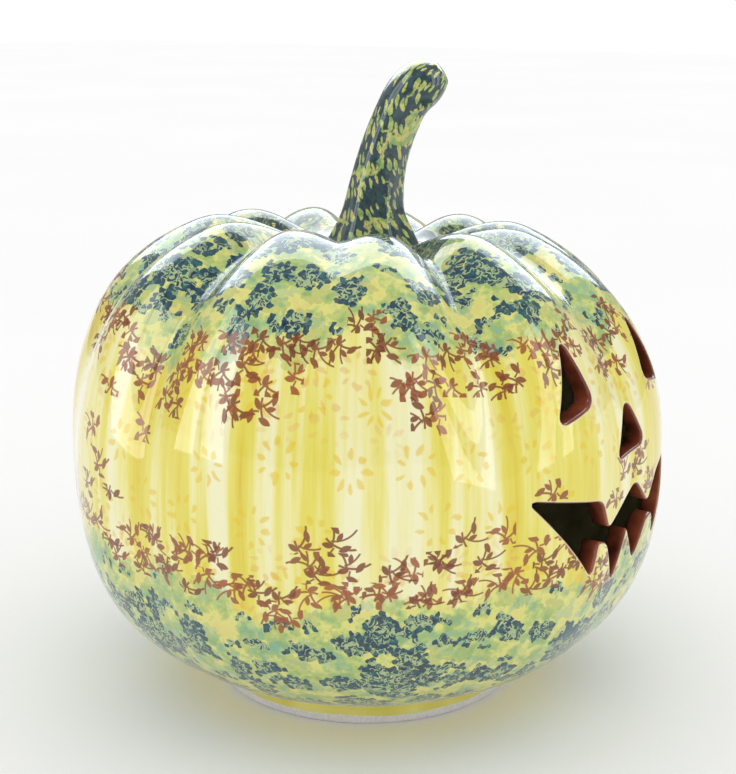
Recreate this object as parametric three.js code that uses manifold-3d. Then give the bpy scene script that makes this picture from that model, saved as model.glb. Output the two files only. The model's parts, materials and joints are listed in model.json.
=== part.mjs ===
// A hollow glazed stoneware pumpkin with a carved face, standing over a battery tea light.
// Millimetres, +Z up, origin on the table under the middle of the body, face towards -Y.

import * as THREE from 'three';
import Module from 'manifold-3d';
import { mergeVertices } from 'three/addons/utils/BufferGeometryUtils.js';

const wasm = await Module();
wasm.setup();

// ---------------------------------------------------------------- driving dimensions

const GAP = 0.3; // clearance left between touching pieces

// Body
const BODY_RADIUS = 120; // largest radius, on the ridge of a lobe
const EQUATOR_Z = 96;
const CROWN_RISE = 100; // from the equator to the top of the plain round form
const CROWN_SQUARENESS = 2.5; // exponent of the superellipse that is the upper half's side view
const BELLY_DROP = 94; // from the equator down to the bottom of the plain round form
const BELLY_SQUARENESS = 2.6;
const CROWN_DIP = 8; // the crown slopes, lower on one side by this much at the rim
const CROWN_DIP_DEG = 95; // turn of the low side from straight ahead, towards +X
const WELL_DEPTH = 22; // hollow around the stem
const WELL_RADIUS = 67;
const SEAT_RADIUS = 22; // flat spot at the bottom of the hollow, where the stem is luted on
const WALL = 7;
const LOBES = 11; // the middle of the face lies on a groove
const GROOVE_DEPTH_EQUATOR = 2.6;
const GROOVE_DEPTH_CROWN = 8.5;
const GROOVE_SOFTNESS = 0.2; // 0 is a sharp V, 1 a plain wave
// Relative depth of each groove, from the face's own groove round towards -X.
const GROOVE_SHARE = [0.7, 1.1, 0.4, 1.1, 0.9, 1, 0.8, 1.1, 0.8, 1, 0.9];
const SIDES_PER_LOBE = 6;
const OUTER_ROWS = 20;
const INNER_ROWS = 12;

// Foot
const FOOT_RADIUS = 62.5;
const FOOT_HEIGHT = 12;
const FOOT_WALL = 8;
const FOOT_FLARE = 1.2; // the foot is this much narrower at the table

// Stem
const STEM_LEAN_DEG = 30; // turn of the lean from straight ahead, towards +X
const STEM_FLUTES = 6;
const STEM_SIDES = 24;
const STEM_ROWS = 15;

// Battery tea light
const LIGHT_RADIUS = 18.5;
const LIGHT_HEIGHT = 19;
const LIGHT_WALL = 1.2;
const FLAME_TOP_Z = 42;
const PLATE_Z = 1; // underside of the base plate, recessed inside the cup's rim
const PLATE_THICKNESS = 1.2;
const CELL_RADIUS = 10; // a 20 mm coin cell, 3.2 mm thick
const CELL_THICKNESS = 3.2;
const CELL_X = -4;
const SWITCH_X = 12.2;
const SWITCH_TRAVEL = 3;

// ---------------------------------------------------------------- materials

const glaze = new THREE.MeshStandardMaterial({ color: 0xe6dc86, roughness: 0.12, metalness: 0 });
const stemGlaze = new THREE.MeshStandardMaterial({ color: 0x5d7a4c, roughness: 0.12, metalness: 0 });
const footClay = new THREE.MeshStandardMaterial({ color: 0xdcdce2, roughness: 0.7, metalness: 0 });
const whitePlastic = new THREE.MeshStandardMaterial({ color: 0xf1eee6, roughness: 0.45, metalness: 0 });
const flamePlastic = new THREE.MeshStandardMaterial({ color: 0xf6c36a, roughness: 0.3, metalness: 0 });
const ledEpoxy = new THREE.MeshStandardMaterial({ color: 0xf3e2b0, roughness: 0.15, metalness: 0 });
const steel = new THREE.MeshStandardMaterial({ color: 0xb9bcc0, roughness: 0.3, metalness: 1 });
const darkPlastic = new THREE.MeshStandardMaterial({ color: 0x2b2b2d, roughness: 0.5, metalness: 0 });

// ---------------------------------------------------------------- solids

// A geometry with shared corners and no zero-area triangles, ready for a boolean or an export.
function closedGeometry(geometry) {
  const bare = geometry.clone();
  bare.deleteAttribute('normal');
  bare.deleteAttribute('uv');
  const merged = mergeVertices(bare, 1e-4);
  const kept = [];
  const index = merged.index.array;
  for (let i = 0; i < index.length; i += 3) {
    const [a, b, c] = [index[i], index[i + 1], index[i + 2]];
    if (a !== b && b !== c && c !== a) kept.push(a, b, c);
  }
  merged.setIndex(kept);
  return merged;
}

function toManifold(geometry) {
  const closed = closedGeometry(geometry);
  return new wasm.Manifold(new wasm.Mesh({
    numProp: 3,
    vertProperties: new Float32Array(closed.attributes.position.array),
    triVerts: new Uint32Array(closed.index.array),
  }));
}

function fromManifold(solid) {
  const { vertProperties, triVerts } = solid.getMesh();
  const geometry = new THREE.BufferGeometry();
  geometry.setAttribute('position', new THREE.BufferAttribute(vertProperties, 3));
  geometry.setIndex(new THREE.BufferAttribute(triVerts, 1));
  return geometry;
}

function join(...geometries) {
  return fromManifold(geometries.map(toManifold).reduce((sum, next) => sum.add(next)));
}

function cut(geometry, ...tools) {
  return fromManifold(tools.map(toManifold).reduce((rest, tool) => rest.subtract(tool), toManifold(geometry)));
}

// A profile of [radius, height] pairs turned about +Z.
function turned(profile, sides) {
  const points = profile.map(([radius, height]) => new THREE.Vector2(radius, height));
  return new THREE.LatheGeometry(points, sides).rotateX(Math.PI / 2);
}

// A flat outline drawn in X and Y, raised from low to high.
function raised(shape, low, high, curveSegments = 24) {
  const depth = high - low;
  return new THREE.ExtrudeGeometry(shape, { depth, bevelEnabled: false, curveSegments }).translate(0, 0, low);
}

function box(sizeX, sizeY, sizeZ, x, y, z) {
  return new THREE.BoxGeometry(sizeX, sizeY, sizeZ).translate(x, y, z);
}

function post(radius, low, high, x, y, sides = 24) {
  return new THREE.CylinderGeometry(radius, radius, high - low, sides)
    .rotateX(Math.PI / 2)
    .translate(x, y, (low + high) / 2);
}

// A polygon whose corners are rounded off, as a knife leaves them in soft clay.
function roundedOutline(corners, rounding) {
  const shape = new THREE.Shape();
  const points = corners.map(([x, z]) => new THREE.Vector2(x, z));
  points.forEach((corner, i) => {
    const before = points[(i + points.length - 1) % points.length];
    const after = points[(i + 1) % points.length];
    const setback = (other) => Math.min(rounding, corner.distanceTo(other) * 0.45);
    const start = corner.clone().lerp(before, setback(before) / corner.distanceTo(before));
    const end = corner.clone().lerp(after, setback(after) / corner.distanceTo(after));
    if (i === 0) shape.moveTo(start.x, start.y);
    else shape.lineTo(start.x, start.y);
    shape.quadraticCurveTo(corner.x, corner.y, end.x, end.y);
  });
  shape.closePath();
  return shape;
}

// ---------------------------------------------------------------- body

// Height of a superellipse arch above its foot, as a share of its rise.
function arch(radius, squareness) {
  return (1 - Math.min(1, radius / BODY_RADIUS) ** squareness) ** (1 / squareness);
}

// Side view of the outer surface. latitude runs from -90 degrees at the bottom to +90 at the stem.
function sideView(latitude) {
  if (latitude <= 0) {
    const radius = BODY_RADIUS * Math.cos(latitude) ** (2 / BELLY_SQUARENESS);
    return new THREE.Vector2(radius, EQUATOR_Z - BELLY_DROP * arch(radius, BELLY_SQUARENESS));
  }
  const radius = BODY_RADIUS * Math.abs(Math.cos(latitude)) ** (2 / CROWN_SQUARENESS);
  const shapedBy = Math.max(radius, SEAT_RADIUS);
  const well = WELL_DEPTH * Math.max(0, 1 - (shapedBy / WELL_RADIUS) ** 2) ** 2;
  return new THREE.Vector2(radius, EQUATOR_Z + CROWN_RISE * arch(shapedBy, CROWN_SQUARENESS) - well);
}

// Outward direction of the side view at a latitude.
function sideNormal(latitude) {
  if (latitude >= Math.PI / 2) return new THREE.Vector2(0, 1);
  const step = 1e-3;
  const along = sideView(latitude + step).sub(sideView(latitude - step));
  return new THREE.Vector2(along.y, -along.x).normalize();
}

// 0 at the equator and below, 1 near the crest.
function crownShare(height) {
  return THREE.MathUtils.smoothstep(height, EQUATOR_Z, EQUATOR_Z + 0.8 * CROWN_RISE);
}

// How far the surface sinks between two lobes, along the side view's normal.
// The angle is measured from the face, positive towards +X.
function grooveSink(angle, point) {
  const turn = (-LOBES * angle) / (2 * Math.PI);
  const nearest = ((Math.round(turn) % LOBES) + LOBES) % LOBES;
  const wave = Math.abs(Math.sin(Math.PI * turn));
  const soft = (value) => Math.sqrt(value ** 2 + GROOVE_SOFTNESS ** 2);
  const bulge = (soft(wave) - soft(0)) / (soft(1) - soft(0));
  const depth = THREE.MathUtils.lerp(GROOVE_DEPTH_EQUATOR, GROOVE_DEPTH_CROWN, crownShare(point.y));
  const nearFoot = THREE.MathUtils.smoothstep(point.y, 8, 60);
  const nearStem = point.y > EQUATOR_Z ? THREE.MathUtils.smoothstep(point.x, SEAT_RADIUS, 2 * SEAT_RADIUS) : 1;
  return GROOVE_SHARE[nearest] * depth * (1 - bulge) * nearFoot * nearStem;
}

// How far the crown's slope lowers a point of the outer or inner surface.
function crownDip(x, y, height) {
  const turn = THREE.MathUtils.degToRad(CROWN_DIP_DEG);
  const along = x * Math.sin(turn) - y * Math.cos(turn);
  return (CROWN_DIP * crownShare(height) * along) / BODY_RADIUS;
}

// Latitude at which the belly reaches a height below the equator.
function bellyLatitude(height) {
  return -Math.asin(((EQUATOR_Z - height) / BELLY_DROP) ** (BELLY_SQUARENESS / 2));
}

// The body's wall as one closed skin: inside from the stem down, then outside back up.
// The rows are turned as a plain lathe, and each row is then laid on its true curve.
// The lowest inner row lies flat over the foot, so the body rests on the whole ring.
function pumpkinWall() {
  const seat = Math.acos((SEAT_RADIUS / BODY_RADIUS) ** (CROWN_SQUARENESS / 2));
  const bottom = bellyLatitude(FOOT_HEIGHT + GAP);
  const rowsOf = (count, inset) => Array.from({ length: count }, (_, i) => ({
    latitude: i === 0 ? Math.PI / 2 : THREE.MathUtils.lerp(seat, bottom, (i - 1) / (count - 2)),
    inset,
  }));
  const rows = [...rowsOf(INNER_ROWS, WALL), ...rowsOf(OUTER_ROWS, 0).reverse()];
  const rings = rows.map((row, i) => new THREE.Vector2(row.latitude === Math.PI / 2 ? 0 : 1, i));
  const lathe = new THREE.LatheGeometry(rings, LOBES * SIDES_PER_LOBE);
  const position = lathe.attributes.position;
  for (let i = 0; i < position.count; i += 1) {
    const row = rows[Math.round(position.getY(i))];
    const onAxis = row.latitude === Math.PI / 2;
    const angle = onAxis ? 0 : Math.atan2(position.getX(i), position.getZ(i));
    const point = sideView(row.latitude);
    const inward = grooveSink(angle, point) + row.inset;
    point.addScaledVector(sideNormal(row.latitude), -inward);
    if (row.inset > 0 && row.latitude === bottom) point.set(FOOT_RADIUS - FOOT_WALL, 0);
    const level = Math.max(point.y, FOOT_HEIGHT + GAP);
    const radius = onAxis ? 0 : point.x;
    const x = radius * Math.sin(angle);
    const y = -radius * Math.cos(angle);
    position.setXYZ(i, x, y, level - crownDip(x, y, level));
  }
  return lathe;
}

// Face outlines in X and Z, seen from the front.
const LEFT_EYE = [[-28, 158], [-40, 129.5], [-21, 135]];
const RIGHT_EYE = [[26, 158], [21, 135], [40, 131]];
const NOSE = [[4, 131], [-9, 111], [13, 113.5]];
const MOUTH = [
  [-53, 105], [-24, 71], [-22, 84], [-15.5, 82], [-7, 64], [0, 84],
  [9, 68], [17, 82], [24, 83], [27, 72], [53, 106],
  [26, 98.5], [17, 88], [5.5, 99.5], [-15.5, 86.5], [-20.5, 98.5],
];

function carvingTool(corners, rounding) {
  const reach = BODY_RADIUS * 0.7;
  const outline = roundedOutline(corners, rounding);
  return new THREE.ExtrudeGeometry(outline, { depth: reach, bevelEnabled: false, curveSegments: 4 })
    .rotateX(Math.PI / 2)
    .translate(0, -BODY_RADIUS * 0.5, 0);
}

function pumpkinShell() {
  return cut(
    pumpkinWall(),
    carvingTool(LEFT_EYE, 5),
    carvingTool(RIGHT_EYE, 5),
    carvingTool(NOSE, 5),
    carvingTool(MOUTH, 2.5),
  );
}

// ---------------------------------------------------------------- foot

function footRing() {
  const inner = FOOT_RADIUS - FOOT_WALL;
  return turned([
    [inner, 0],
    [FOOT_RADIUS - FOOT_FLARE, 0],
    [FOOT_RADIUS, 1.2],
    [FOOT_RADIUS + FOOT_FLARE, FOOT_HEIGHT],
    [inner, FOOT_HEIGHT],
    [inner, 0],
  ], 96);
}

// ---------------------------------------------------------------- stem

const SEAT_Z = sideView(Math.PI / 2).y;
// Middle line of the stem above its seat, as [distance along the lean, height].
const STEM_LINE = [[2.5, 0], [3.2, 17], [6.3, 34], [12, 50], [18, 60], [28.5, 67]];
// Half thickness at even steps along that line, from the flared base to the tip.
const STEM_HALF_WIDTHS = [18.5, 12.6, 10.7, 9.8, 9.4, 9.3, 9.6, 8.8];

// A lathe of plain rings, each ring then laid on the bent middle line at its own thickness.
function stemBody() {
  const lean = THREE.MathUtils.degToRad(STEM_LEAN_DEG);
  const ahead = new THREE.Vector3(Math.sin(lean), -Math.cos(lean), 0);
  const across = new THREE.Vector3(Math.cos(lean), Math.sin(lean), 0);
  const line = new THREE.CatmullRomCurve3(
    STEM_LINE.map(([along, height]) => ahead.clone().multiplyScalar(along).setZ(SEAT_Z + height)),
  );
  const widths = new THREE.SplineCurve(STEM_HALF_WIDTHS.map((half, i) => new THREE.Vector2(i, half)));
  const lastRow = STEM_ROWS - 1;
  const rings = Array.from({ length: STEM_ROWS }, (_, i) => new THREE.Vector2(1, i));
  const lathe = new THREE.LatheGeometry(
    [new THREE.Vector2(0, 0), ...rings, new THREE.Vector2(0, lastRow)],
    STEM_SIDES,
  );
  const position = lathe.attributes.position;
  for (let i = 0; i < position.count; i += 1) {
    const fraction = position.getY(i) / lastRow;
    const onAxis = Math.hypot(position.getX(i), position.getZ(i)) < 0.5;
    const angle = onAxis ? 0 : Math.atan2(position.getX(i), position.getZ(i));
    const flute = 1 - 0.05 * (1 + Math.cos(STEM_FLUTES * angle)) * (1 - fraction);
    const roundedTip = Math.sqrt(1 - Math.max(0, (fraction - 0.88) / 0.15) ** 2);
    const radius = onAxis ? 0 : widths.getPoint(fraction).y * flute * roundedTip;
    const sideways = new THREE.Vector3().crossVectors(line.getTangentAt(fraction), across).normalize();
    const place = line.getPointAt(fraction)
      .addScaledVector(across, radius * Math.cos(angle))
      .addScaledVector(sideways, radius * Math.sin(angle));
    const seated = SEAT_Z + GAP - crownDip(place.x, place.y, SEAT_Z);
    position.setXYZ(i, place.x, place.y, fraction === 0 ? seated : Math.max(place.z, seated));
  }
  return lathe;
}

// ---------------------------------------------------------------- tea light

// Cup of the tea light, with a shallow dish on top and a hole for the flame.
function lightHousing() {
  const inner = LIGHT_RADIUS - LIGHT_WALL;
  const hole = 5.6;
  return turned([
    [inner, 0],
    [LIGHT_RADIUS, 0],
    [LIGHT_RADIUS, LIGHT_HEIGHT - 1.4],
    [LIGHT_RADIUS - 0.5, LIGHT_HEIGHT - 0.4],
    [LIGHT_RADIUS - 1.3, LIGHT_HEIGHT],
    [LIGHT_RADIUS - 2.4, LIGHT_HEIGHT - 0.8],
    [11, LIGHT_HEIGHT - 2.2],
    [hole + 1.6, LIGHT_HEIGHT - 2.4],
    [hole, LIGHT_HEIGHT - 1.8],
    [hole, LIGHT_HEIGHT - 3.6],
    [11, LIGHT_HEIGHT - 3.4],
    [inner - 0.8, LIGHT_HEIGHT - 2.4],
    [inner, LIGHT_HEIGHT - 3.2],
    [inner, 0],
  ], 36);
}

// Hollow flame: a flange held under the cup's dish, a neck in the hole, and the drop above it.
function flameLens() {
  const flange = LIGHT_HEIGHT - 3.6 - GAP;
  return turned([
    [4.1, flange - 1],
    [6.8, flange - 1],
    [6.8, flange],
    [5.3, flange],
    [5.3, LIGHT_HEIGHT - 1.4],
    [6.1, LIGHT_HEIGHT + 1.6],
    [6.4, LIGHT_HEIGHT + 4.6],
    [5.9, LIGHT_HEIGHT + 8.4],
    [4.6, LIGHT_HEIGHT + 13],
    [2.6, LIGHT_HEIGHT + 18.4],
    [0.9, FLAME_TOP_Z - 1],
    [0, FLAME_TOP_Z],
    [0, FLAME_TOP_Z - 6],
    [1.2, LIGHT_HEIGHT + 15],
    [3.5, LIGHT_HEIGHT + 10],
    [4.9, LIGHT_HEIGHT + 6],
    [5, LIGHT_HEIGHT + 2.5],
    [4.1, LIGHT_HEIGHT - 1.4],
    [4.1, flange - 1],
  ], 24);
}

// Five millimetre light-emitting diode with its two legs.
function flameLed() {
  const seat = LIGHT_HEIGHT - 6;
  const body = turned([
    [0, seat],
    [2.9, seat],
    [2.9, seat + 1],
    [2.5, seat + 1],
    [2.5, seat + 6],
    [2.1, seat + 7.6],
    [1.2, seat + 8.5],
    [0, seat + 8.8],
  ], 16);
  const leg = (x) => box(0.5, 0.5, 4, x, 0, seat - 1.9);
  return join(body, leg(-1.27), leg(1.27));
}

// Outline of the opening for the battery: a circle with an ear for the screw.
function doorOutline(growth) {
  const radius = CELL_RADIUS + 0.6 + growth;
  const earHalf = 2.8 + growth;
  const earTip = CELL_RADIUS + 3.6 + growth;
  const shape = new THREE.Shape();
  const meet = Math.acos(earHalf / radius);
  shape.moveTo(CELL_X + earHalf, earTip);
  shape.lineTo(CELL_X - earHalf, earTip);
  shape.lineTo(CELL_X - earHalf, radius * Math.sin(meet));
  shape.absarc(CELL_X, 0, radius, Math.PI - meet, 2 * Math.PI + meet, false);
  shape.closePath();
  return shape;
}

const SCREW_Y = CELL_RADIUS + 1.9;
const PLATE_TOP_Z = PLATE_Z + PLATE_THICKNESS;

// Base plate with the battery well, the screw boss and the guide of the switch.
function basePlate() {
  const disc = post(LIGHT_RADIUS - LIGHT_WALL - GAP, PLATE_Z, PLATE_TOP_Z, 0, 0, 48);
  const wellWall = post(CELL_RADIUS + 2, PLATE_TOP_Z - 0.2, PLATE_TOP_Z + CELL_THICKNESS + 0.8, CELL_X, 0, 40);
  const wellRoom = post(CELL_RADIUS + 0.9, PLATE_Z - 1, PLATE_TOP_Z + CELL_THICKNESS + 2, CELL_X, 0, 40);
  const boss = box(6.4, 3.6, CELL_THICKNESS + 0.6, CELL_X, SCREW_Y + 0.4, PLATE_TOP_Z + GAP + CELL_THICKNESS / 2 + 0.3);
  const bossFoot = (side) => box(1.2, 3.6, 2, CELL_X + side * 3.8, SCREW_Y + 0.4, PLATE_TOP_Z + 0.7);
  const screwHole = post(1.3, PLATE_Z, PLATE_TOP_Z + CELL_THICKNESS - 0.4, CELL_X, SCREW_Y, 16);
  const slot = box(3.4 + 2 * GAP, 3 + SWITCH_TRAVEL + 2 * GAP, 4, SWITCH_X, SWITCH_TRAVEL / 2, PLATE_Z + 0.5);
  const plate = cut(join(disc, wellWall), raised(doorOutline(GAP), PLATE_Z - 1, PLATE_TOP_Z + GAP), wellRoom);
  return cut(join(plate, boss, bossFoot(-1), bossFoot(1)), wellRoom, screwHole, slot);
}

function batteryDoor() {
  const screwClearance = post(1.3, PLATE_Z - 1, PLATE_TOP_Z + 1, CELL_X, SCREW_Y, 16);
  const headRecess = post(2.1, PLATE_Z - 1, PLATE_Z + 0.7, CELL_X, SCREW_Y, 16);
  const coinSlot = box(8, 1.2, 0.8, CELL_X, 0, PLATE_Z);
  return cut(raised(doorOutline(0), PLATE_Z, PLATE_TOP_Z - 0.1), screwClearance, headRecess, coinSlot);
}

function doorScrew() {
  const shank = post(1, PLATE_Z + 0.3, PLATE_TOP_Z + CELL_THICKNESS - 0.8, CELL_X, SCREW_Y, 16);
  const head = post(1.8, PLATE_Z - 0.2, PLATE_Z + 0.4, CELL_X, SCREW_Y, 16);
  const driverSlot = box(0.5, 5, 0.3, CELL_X, SCREW_Y, PLATE_Z - 0.2);
  return cut(join(shank, head), driverSlot);
}

function coinCell() {
  const low = PLATE_TOP_Z + 0.2;
  return turned([
    [0, low],
    [CELL_RADIUS - 0.3, low],
    [CELL_RADIUS, low + 0.3],
    [CELL_RADIUS, low + CELL_THICKNESS - 0.8],
    [CELL_RADIUS - 1, low + CELL_THICKNESS - 0.4],
    [CELL_RADIUS - 1.3, low + CELL_THICKNESS],
    [0, low + CELL_THICKNESS],
  ], 40).translate(CELL_X, 0, 0);
}

const CELL_TOP_Z = PLATE_TOP_Z + 0.2 + CELL_THICKNESS;

// Leaf that presses on the middle of the cell and rises to one leg of the diode.
function upperContact() {
  const leaf = box(13, 3, 0.4, CELL_X + 2, 0, CELL_TOP_Z + GAP + 0.2);
  const riser = box(0.4, 3, 3.2, CELL_X + 8.3, 0, CELL_TOP_Z + GAP + 1.6);
  return join(leaf, riser);
}

// Bracket that clips over the well's wall and leads from the cell's rim to the switch.
function sideContact() {
  const bridge = box(5.6, 3, 0.4, CELL_X + CELL_RADIUS + 2.4, 6.5, PLATE_TOP_Z + CELL_THICKNESS + 1.3);
  const drop = box(0.4, 3, 3.4, CELL_X + CELL_RADIUS + 5, 6.5, PLATE_TOP_Z + CELL_THICKNESS - 0.2);
  return join(bridge, drop);
}

function switchSlider() {
  const knob = box(3.4, 3, 2.2, SWITCH_X, 0, PLATE_Z + 0.6);
  const flange = box(4.6, 4, 0.8, SWITCH_X, 0, PLATE_TOP_Z + GAP + 0.4);
  const neck = box(3.4, 3, 1, SWITCH_X, 0, PLATE_TOP_Z + 0.2);
  return join(knob, neck, flange);
}

// ---------------------------------------------------------------- assembly

const part = new THREE.Group();

function addPiece(group, name, geometry, material) {
  const mesh = new THREE.Mesh(closedGeometry(geometry), material);
  mesh.name = name;
  group.add(mesh);
}

const lantern = new THREE.Group();
addPiece(lantern, 'pumpkin_shell', pumpkinShell(), glaze);
addPiece(lantern, 'stem', stemBody(), stemGlaze);
addPiece(lantern, 'foot_ring', footRing(), footClay);

const teaLight = new THREE.Group();
addPiece(teaLight, 'light_housing', lightHousing(), whitePlastic);
addPiece(teaLight, 'flame_lens', flameLens(), flamePlastic);
addPiece(teaLight, 'flame_led', flameLed(), ledEpoxy);
addPiece(teaLight, 'base_plate', basePlate(), whitePlastic);
addPiece(teaLight, 'battery_door', batteryDoor(), whitePlastic);
addPiece(teaLight, 'door_screw', doorScrew(), steel);
addPiece(teaLight, 'coin_cell', coinCell(), steel);
addPiece(teaLight, 'upper_contact', upperContact(), steel);
addPiece(teaLight, 'side_contact', sideContact(), steel);
addPiece(teaLight, 'switch_slider', switchSlider(), darkPlastic);

part.add(lantern, teaLight);

export default part;
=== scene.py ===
"""Ceramic pumpkin lantern: a ribbed, glazed body with a carved face, standing over a battery tea light.

Lengths are in metres. The patterns of the glaze are laid out in millimetres on the unrolled body.
"""

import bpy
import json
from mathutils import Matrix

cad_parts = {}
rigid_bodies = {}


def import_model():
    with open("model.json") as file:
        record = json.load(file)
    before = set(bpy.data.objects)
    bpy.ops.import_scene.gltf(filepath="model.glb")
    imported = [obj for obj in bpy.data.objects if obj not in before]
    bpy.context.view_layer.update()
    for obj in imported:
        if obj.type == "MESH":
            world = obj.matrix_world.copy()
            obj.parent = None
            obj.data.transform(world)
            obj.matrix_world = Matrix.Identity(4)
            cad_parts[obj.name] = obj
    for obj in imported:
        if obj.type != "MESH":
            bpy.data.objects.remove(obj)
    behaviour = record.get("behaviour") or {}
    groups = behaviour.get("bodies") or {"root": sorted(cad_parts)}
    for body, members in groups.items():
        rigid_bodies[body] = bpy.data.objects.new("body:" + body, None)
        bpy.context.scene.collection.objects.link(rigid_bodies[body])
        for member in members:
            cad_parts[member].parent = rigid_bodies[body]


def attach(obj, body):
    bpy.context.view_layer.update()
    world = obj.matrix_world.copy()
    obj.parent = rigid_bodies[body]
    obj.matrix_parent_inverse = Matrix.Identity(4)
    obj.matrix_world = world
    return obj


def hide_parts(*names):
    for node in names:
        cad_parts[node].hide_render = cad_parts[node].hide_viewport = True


bl_info = {
    "name": "Ceramic Pumpkin Lantern",
    "version": (1, 0, 0),
    "blender": (4, 5, 0),
    "location": "3D View > Sidebar > Pumpkin",
    "description": "Builds a hand-stamped ceramic pumpkin lantern on its measured frame",
    "category": "Add Mesh",
}

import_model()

import json
import math
from functools import reduce
from types import SimpleNamespace

import bpy
import numpy as np
from bpy.props import FloatProperty, FloatVectorProperty, IntProperty, PointerProperty
from mathutils import Vector
from mathutils.geometry import delaunay_2d_cdt

TURN = 2 * math.pi

# ---------------------------------------------------------------- one arithmetic for arrays and nodes


class Wire:
    """An output socket in a node tree. Arithmetic on it lays Math nodes."""

    def __init__(self, socket):
        self.socket = socket
        self.tree = socket.id_data

    def __neg__(self):
        return maths("MULTIPLY", self, -1.0)


def plug(socket, value):
    if isinstance(value, Wire):
        value.tree.links.new(value.socket, socket)
    else:
        socket.default_value = value


def lay(tree, kind, inputs=(), **settings):
    """A new node with its settings made and its inputs plugged, by name or number."""
    node = tree.nodes.new(kind)
    for name, value in settings.items():
        setattr(node, name, value)
    for socket, value in dict(inputs).items():
        plug(node.inputs[socket], value)
    return node


def tree_of(values):
    """The node tree of the first wire among values."""
    return next(value.tree for value in values if isinstance(value, Wire))


def maths(operation, *values):
    return Wire(lay(tree_of(values), "ShaderNodeMath", enumerate(values), operation=operation).outputs[0])


def arithmetic(operation, swapped):
    def operate(self, other):
        return maths(operation, *((other, self) if swapped else (self, other)))

    return operate


for sign, operation in dict(add="ADD", sub="SUBTRACT", mul="MULTIPLY", truediv="DIVIDE", pow="POWER").items():
    setattr(Wire, f"__{sign}__", arithmetic(operation, False))
    setattr(Wire, f"__r{sign}__", arithmetic(operation, True))


def either(operation, on_arrays):
    """A function that lays a Math node for wires, and works straight away on arrays and numbers."""

    def operate(*values):
        wired = any(isinstance(value, Wire) for value in values)
        return maths(operation, *values) if wired else on_arrays(*values)

    return operate


sine = either("SINE", np.sin)
cosine = either("COSINE", np.cos)
magnitude = either("ABSOLUTE", np.abs)
root = either("SQRT", np.sqrt)
lesser = either("MINIMUM", np.minimum)
greater = either("MAXIMUM", np.maximum)
whole = either("FLOOR", np.floor)
above = either("GREATER_THAN", lambda a, b: 1.0 * (a > b))
below = either("LESS_THAN", lambda a, b: 1.0 * (a < b))
bearing = either("ARCTAN2", np.arctan2)
wrapped = either("FLOORED_MODULO", np.mod)


def ramp(value, start, end):
    """0 at start and 1 at end, with a soft foot and shoulder."""
    if isinstance(value, Wire):
        ends = {"Value": value, "From Min": start, "From Max": end}
        return Wire(lay(value.tree, "ShaderNodeMapRange", ends, interpolation_type="SMOOTHSTEP").outputs["Result"])
    share = np.clip((value - start) / (end - start), 0, 1)
    return share * share * (3 - 2 * share)


# ---------------------------------------------------------------- sizes and colours a maker would change


def linear(code):
    """A colour written as six hexadecimal digits, in the renderer's linear values."""
    parts = [int(code[i : i + 2], 16) / 255 for i in (0, 2, 4)]
    return tuple(c / 12.92 if c <= 0.04045 else ((c + 0.055) / 1.055) ** 2.4 for c in parts)


def length(name, description, default):
    kind = dict(min=0.0, unit="LENGTH", subtype="DISTANCE")
    return FloatProperty(name=name, description=description, default=default, **kind)


def colour(name, description, code):
    kind = dict(size=3, min=0.0, max=1.0, subtype="COLOR")
    return FloatVectorProperty(name=name, description=description, default=linear(code), **kind)


class PumpkinShape(bpy.types.PropertyGroup):
    """Sizes of the hollow body"""

    body_radius: length("Body radius", "Largest radius, on the ridge of a lobe", 0.120)
    crown_rise: length("Crown rise", "From the equator to the top of the plain round form", 0.100)
    belly_drop: length("Belly drop", "From the equator to the bottom of the plain round form", 0.094)
    crown_dip: length("Crown dip", "How far the crown slopes down on its low side", 0.008)
    well_depth: length("Well depth", "Hollow around the stem", 0.022)
    groove_depth_equator: length("Groove depth at the equator", "Depth between two lobes", 0.0026)
    groove_depth_crown: length("Groove depth at the crown", "Depth between two lobes", 0.0085)
    wall: length("Wall", "Thickness of the fired clay", 0.007)
    lip: length("Lip", "Radius to which a carved edge is sponged", 0.0012)
    lobes: IntProperty(name="Lobes", description="Number of ribs", default=11, min=3)


class GlazeColours(bpy.types.PropertyGroup):
    """Colours painted and stamped under the clear glaze"""

    cream: colour("Cream", "Palest brush strokes of the middle band", "F3F0C4")
    yellow: colour("Yellow", "Main brush strokes of the middle band", "E6DB60")
    ochre: colour("Ochre", "Deepest brush strokes of the middle band", "C9A63C")
    petal: colour("Petal", "Ring flowers on the middle band", "E6C41E")
    leaf: colour("Leaf", "Sprigs along the borders", "733016")
    moss: colour("Moss", "Green of the crown and belly", "9DB973")
    water: colour("Water", "Blue green of the crown and belly", "86B7A2")
    ink: colour("Ink", "Dark stamps of the crown and belly", "10405A")
    cut_edge: colour("Cut edge", "Glaze on the carved faces", "84422C")
    inside: colour("Inside", "Glaze on the inner wall", "CFCBA8")


class LanternSettings(bpy.types.PropertyGroup):
    """Everything a user would change on the lantern"""

    shape: PointerProperty(name="Shape", description="Sizes of the body", type=PumpkinShape)
    paint: PointerProperty(name="Paint", description="Colours of the glaze", type=GlazeColours)


# ---------------------------------------------------------------- the rule that shapes the body

EQUATOR = 0.096
CROWN_SQUARENESS = 2.5
BELLY_SQUARENESS = 2.6
WELL_RADIUS = 0.067
SEAT_RADIUS = 0.022
GROOVE_SOFTNESS = 0.2
# Relative depth of each groove, from the face's own groove round towards -X.
GROOVE_SHARE = (0.7, 1.1, 0.4, 1.1, 0.9, 1.0, 0.8, 1.1, 0.8, 1.0, 0.9)
DIP_TURN = math.radians(95)
# Heights between which the grooves deepen from nothing above the foot.
GROOVE_START, GROOVE_FULL = 0.008, 0.060
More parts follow.
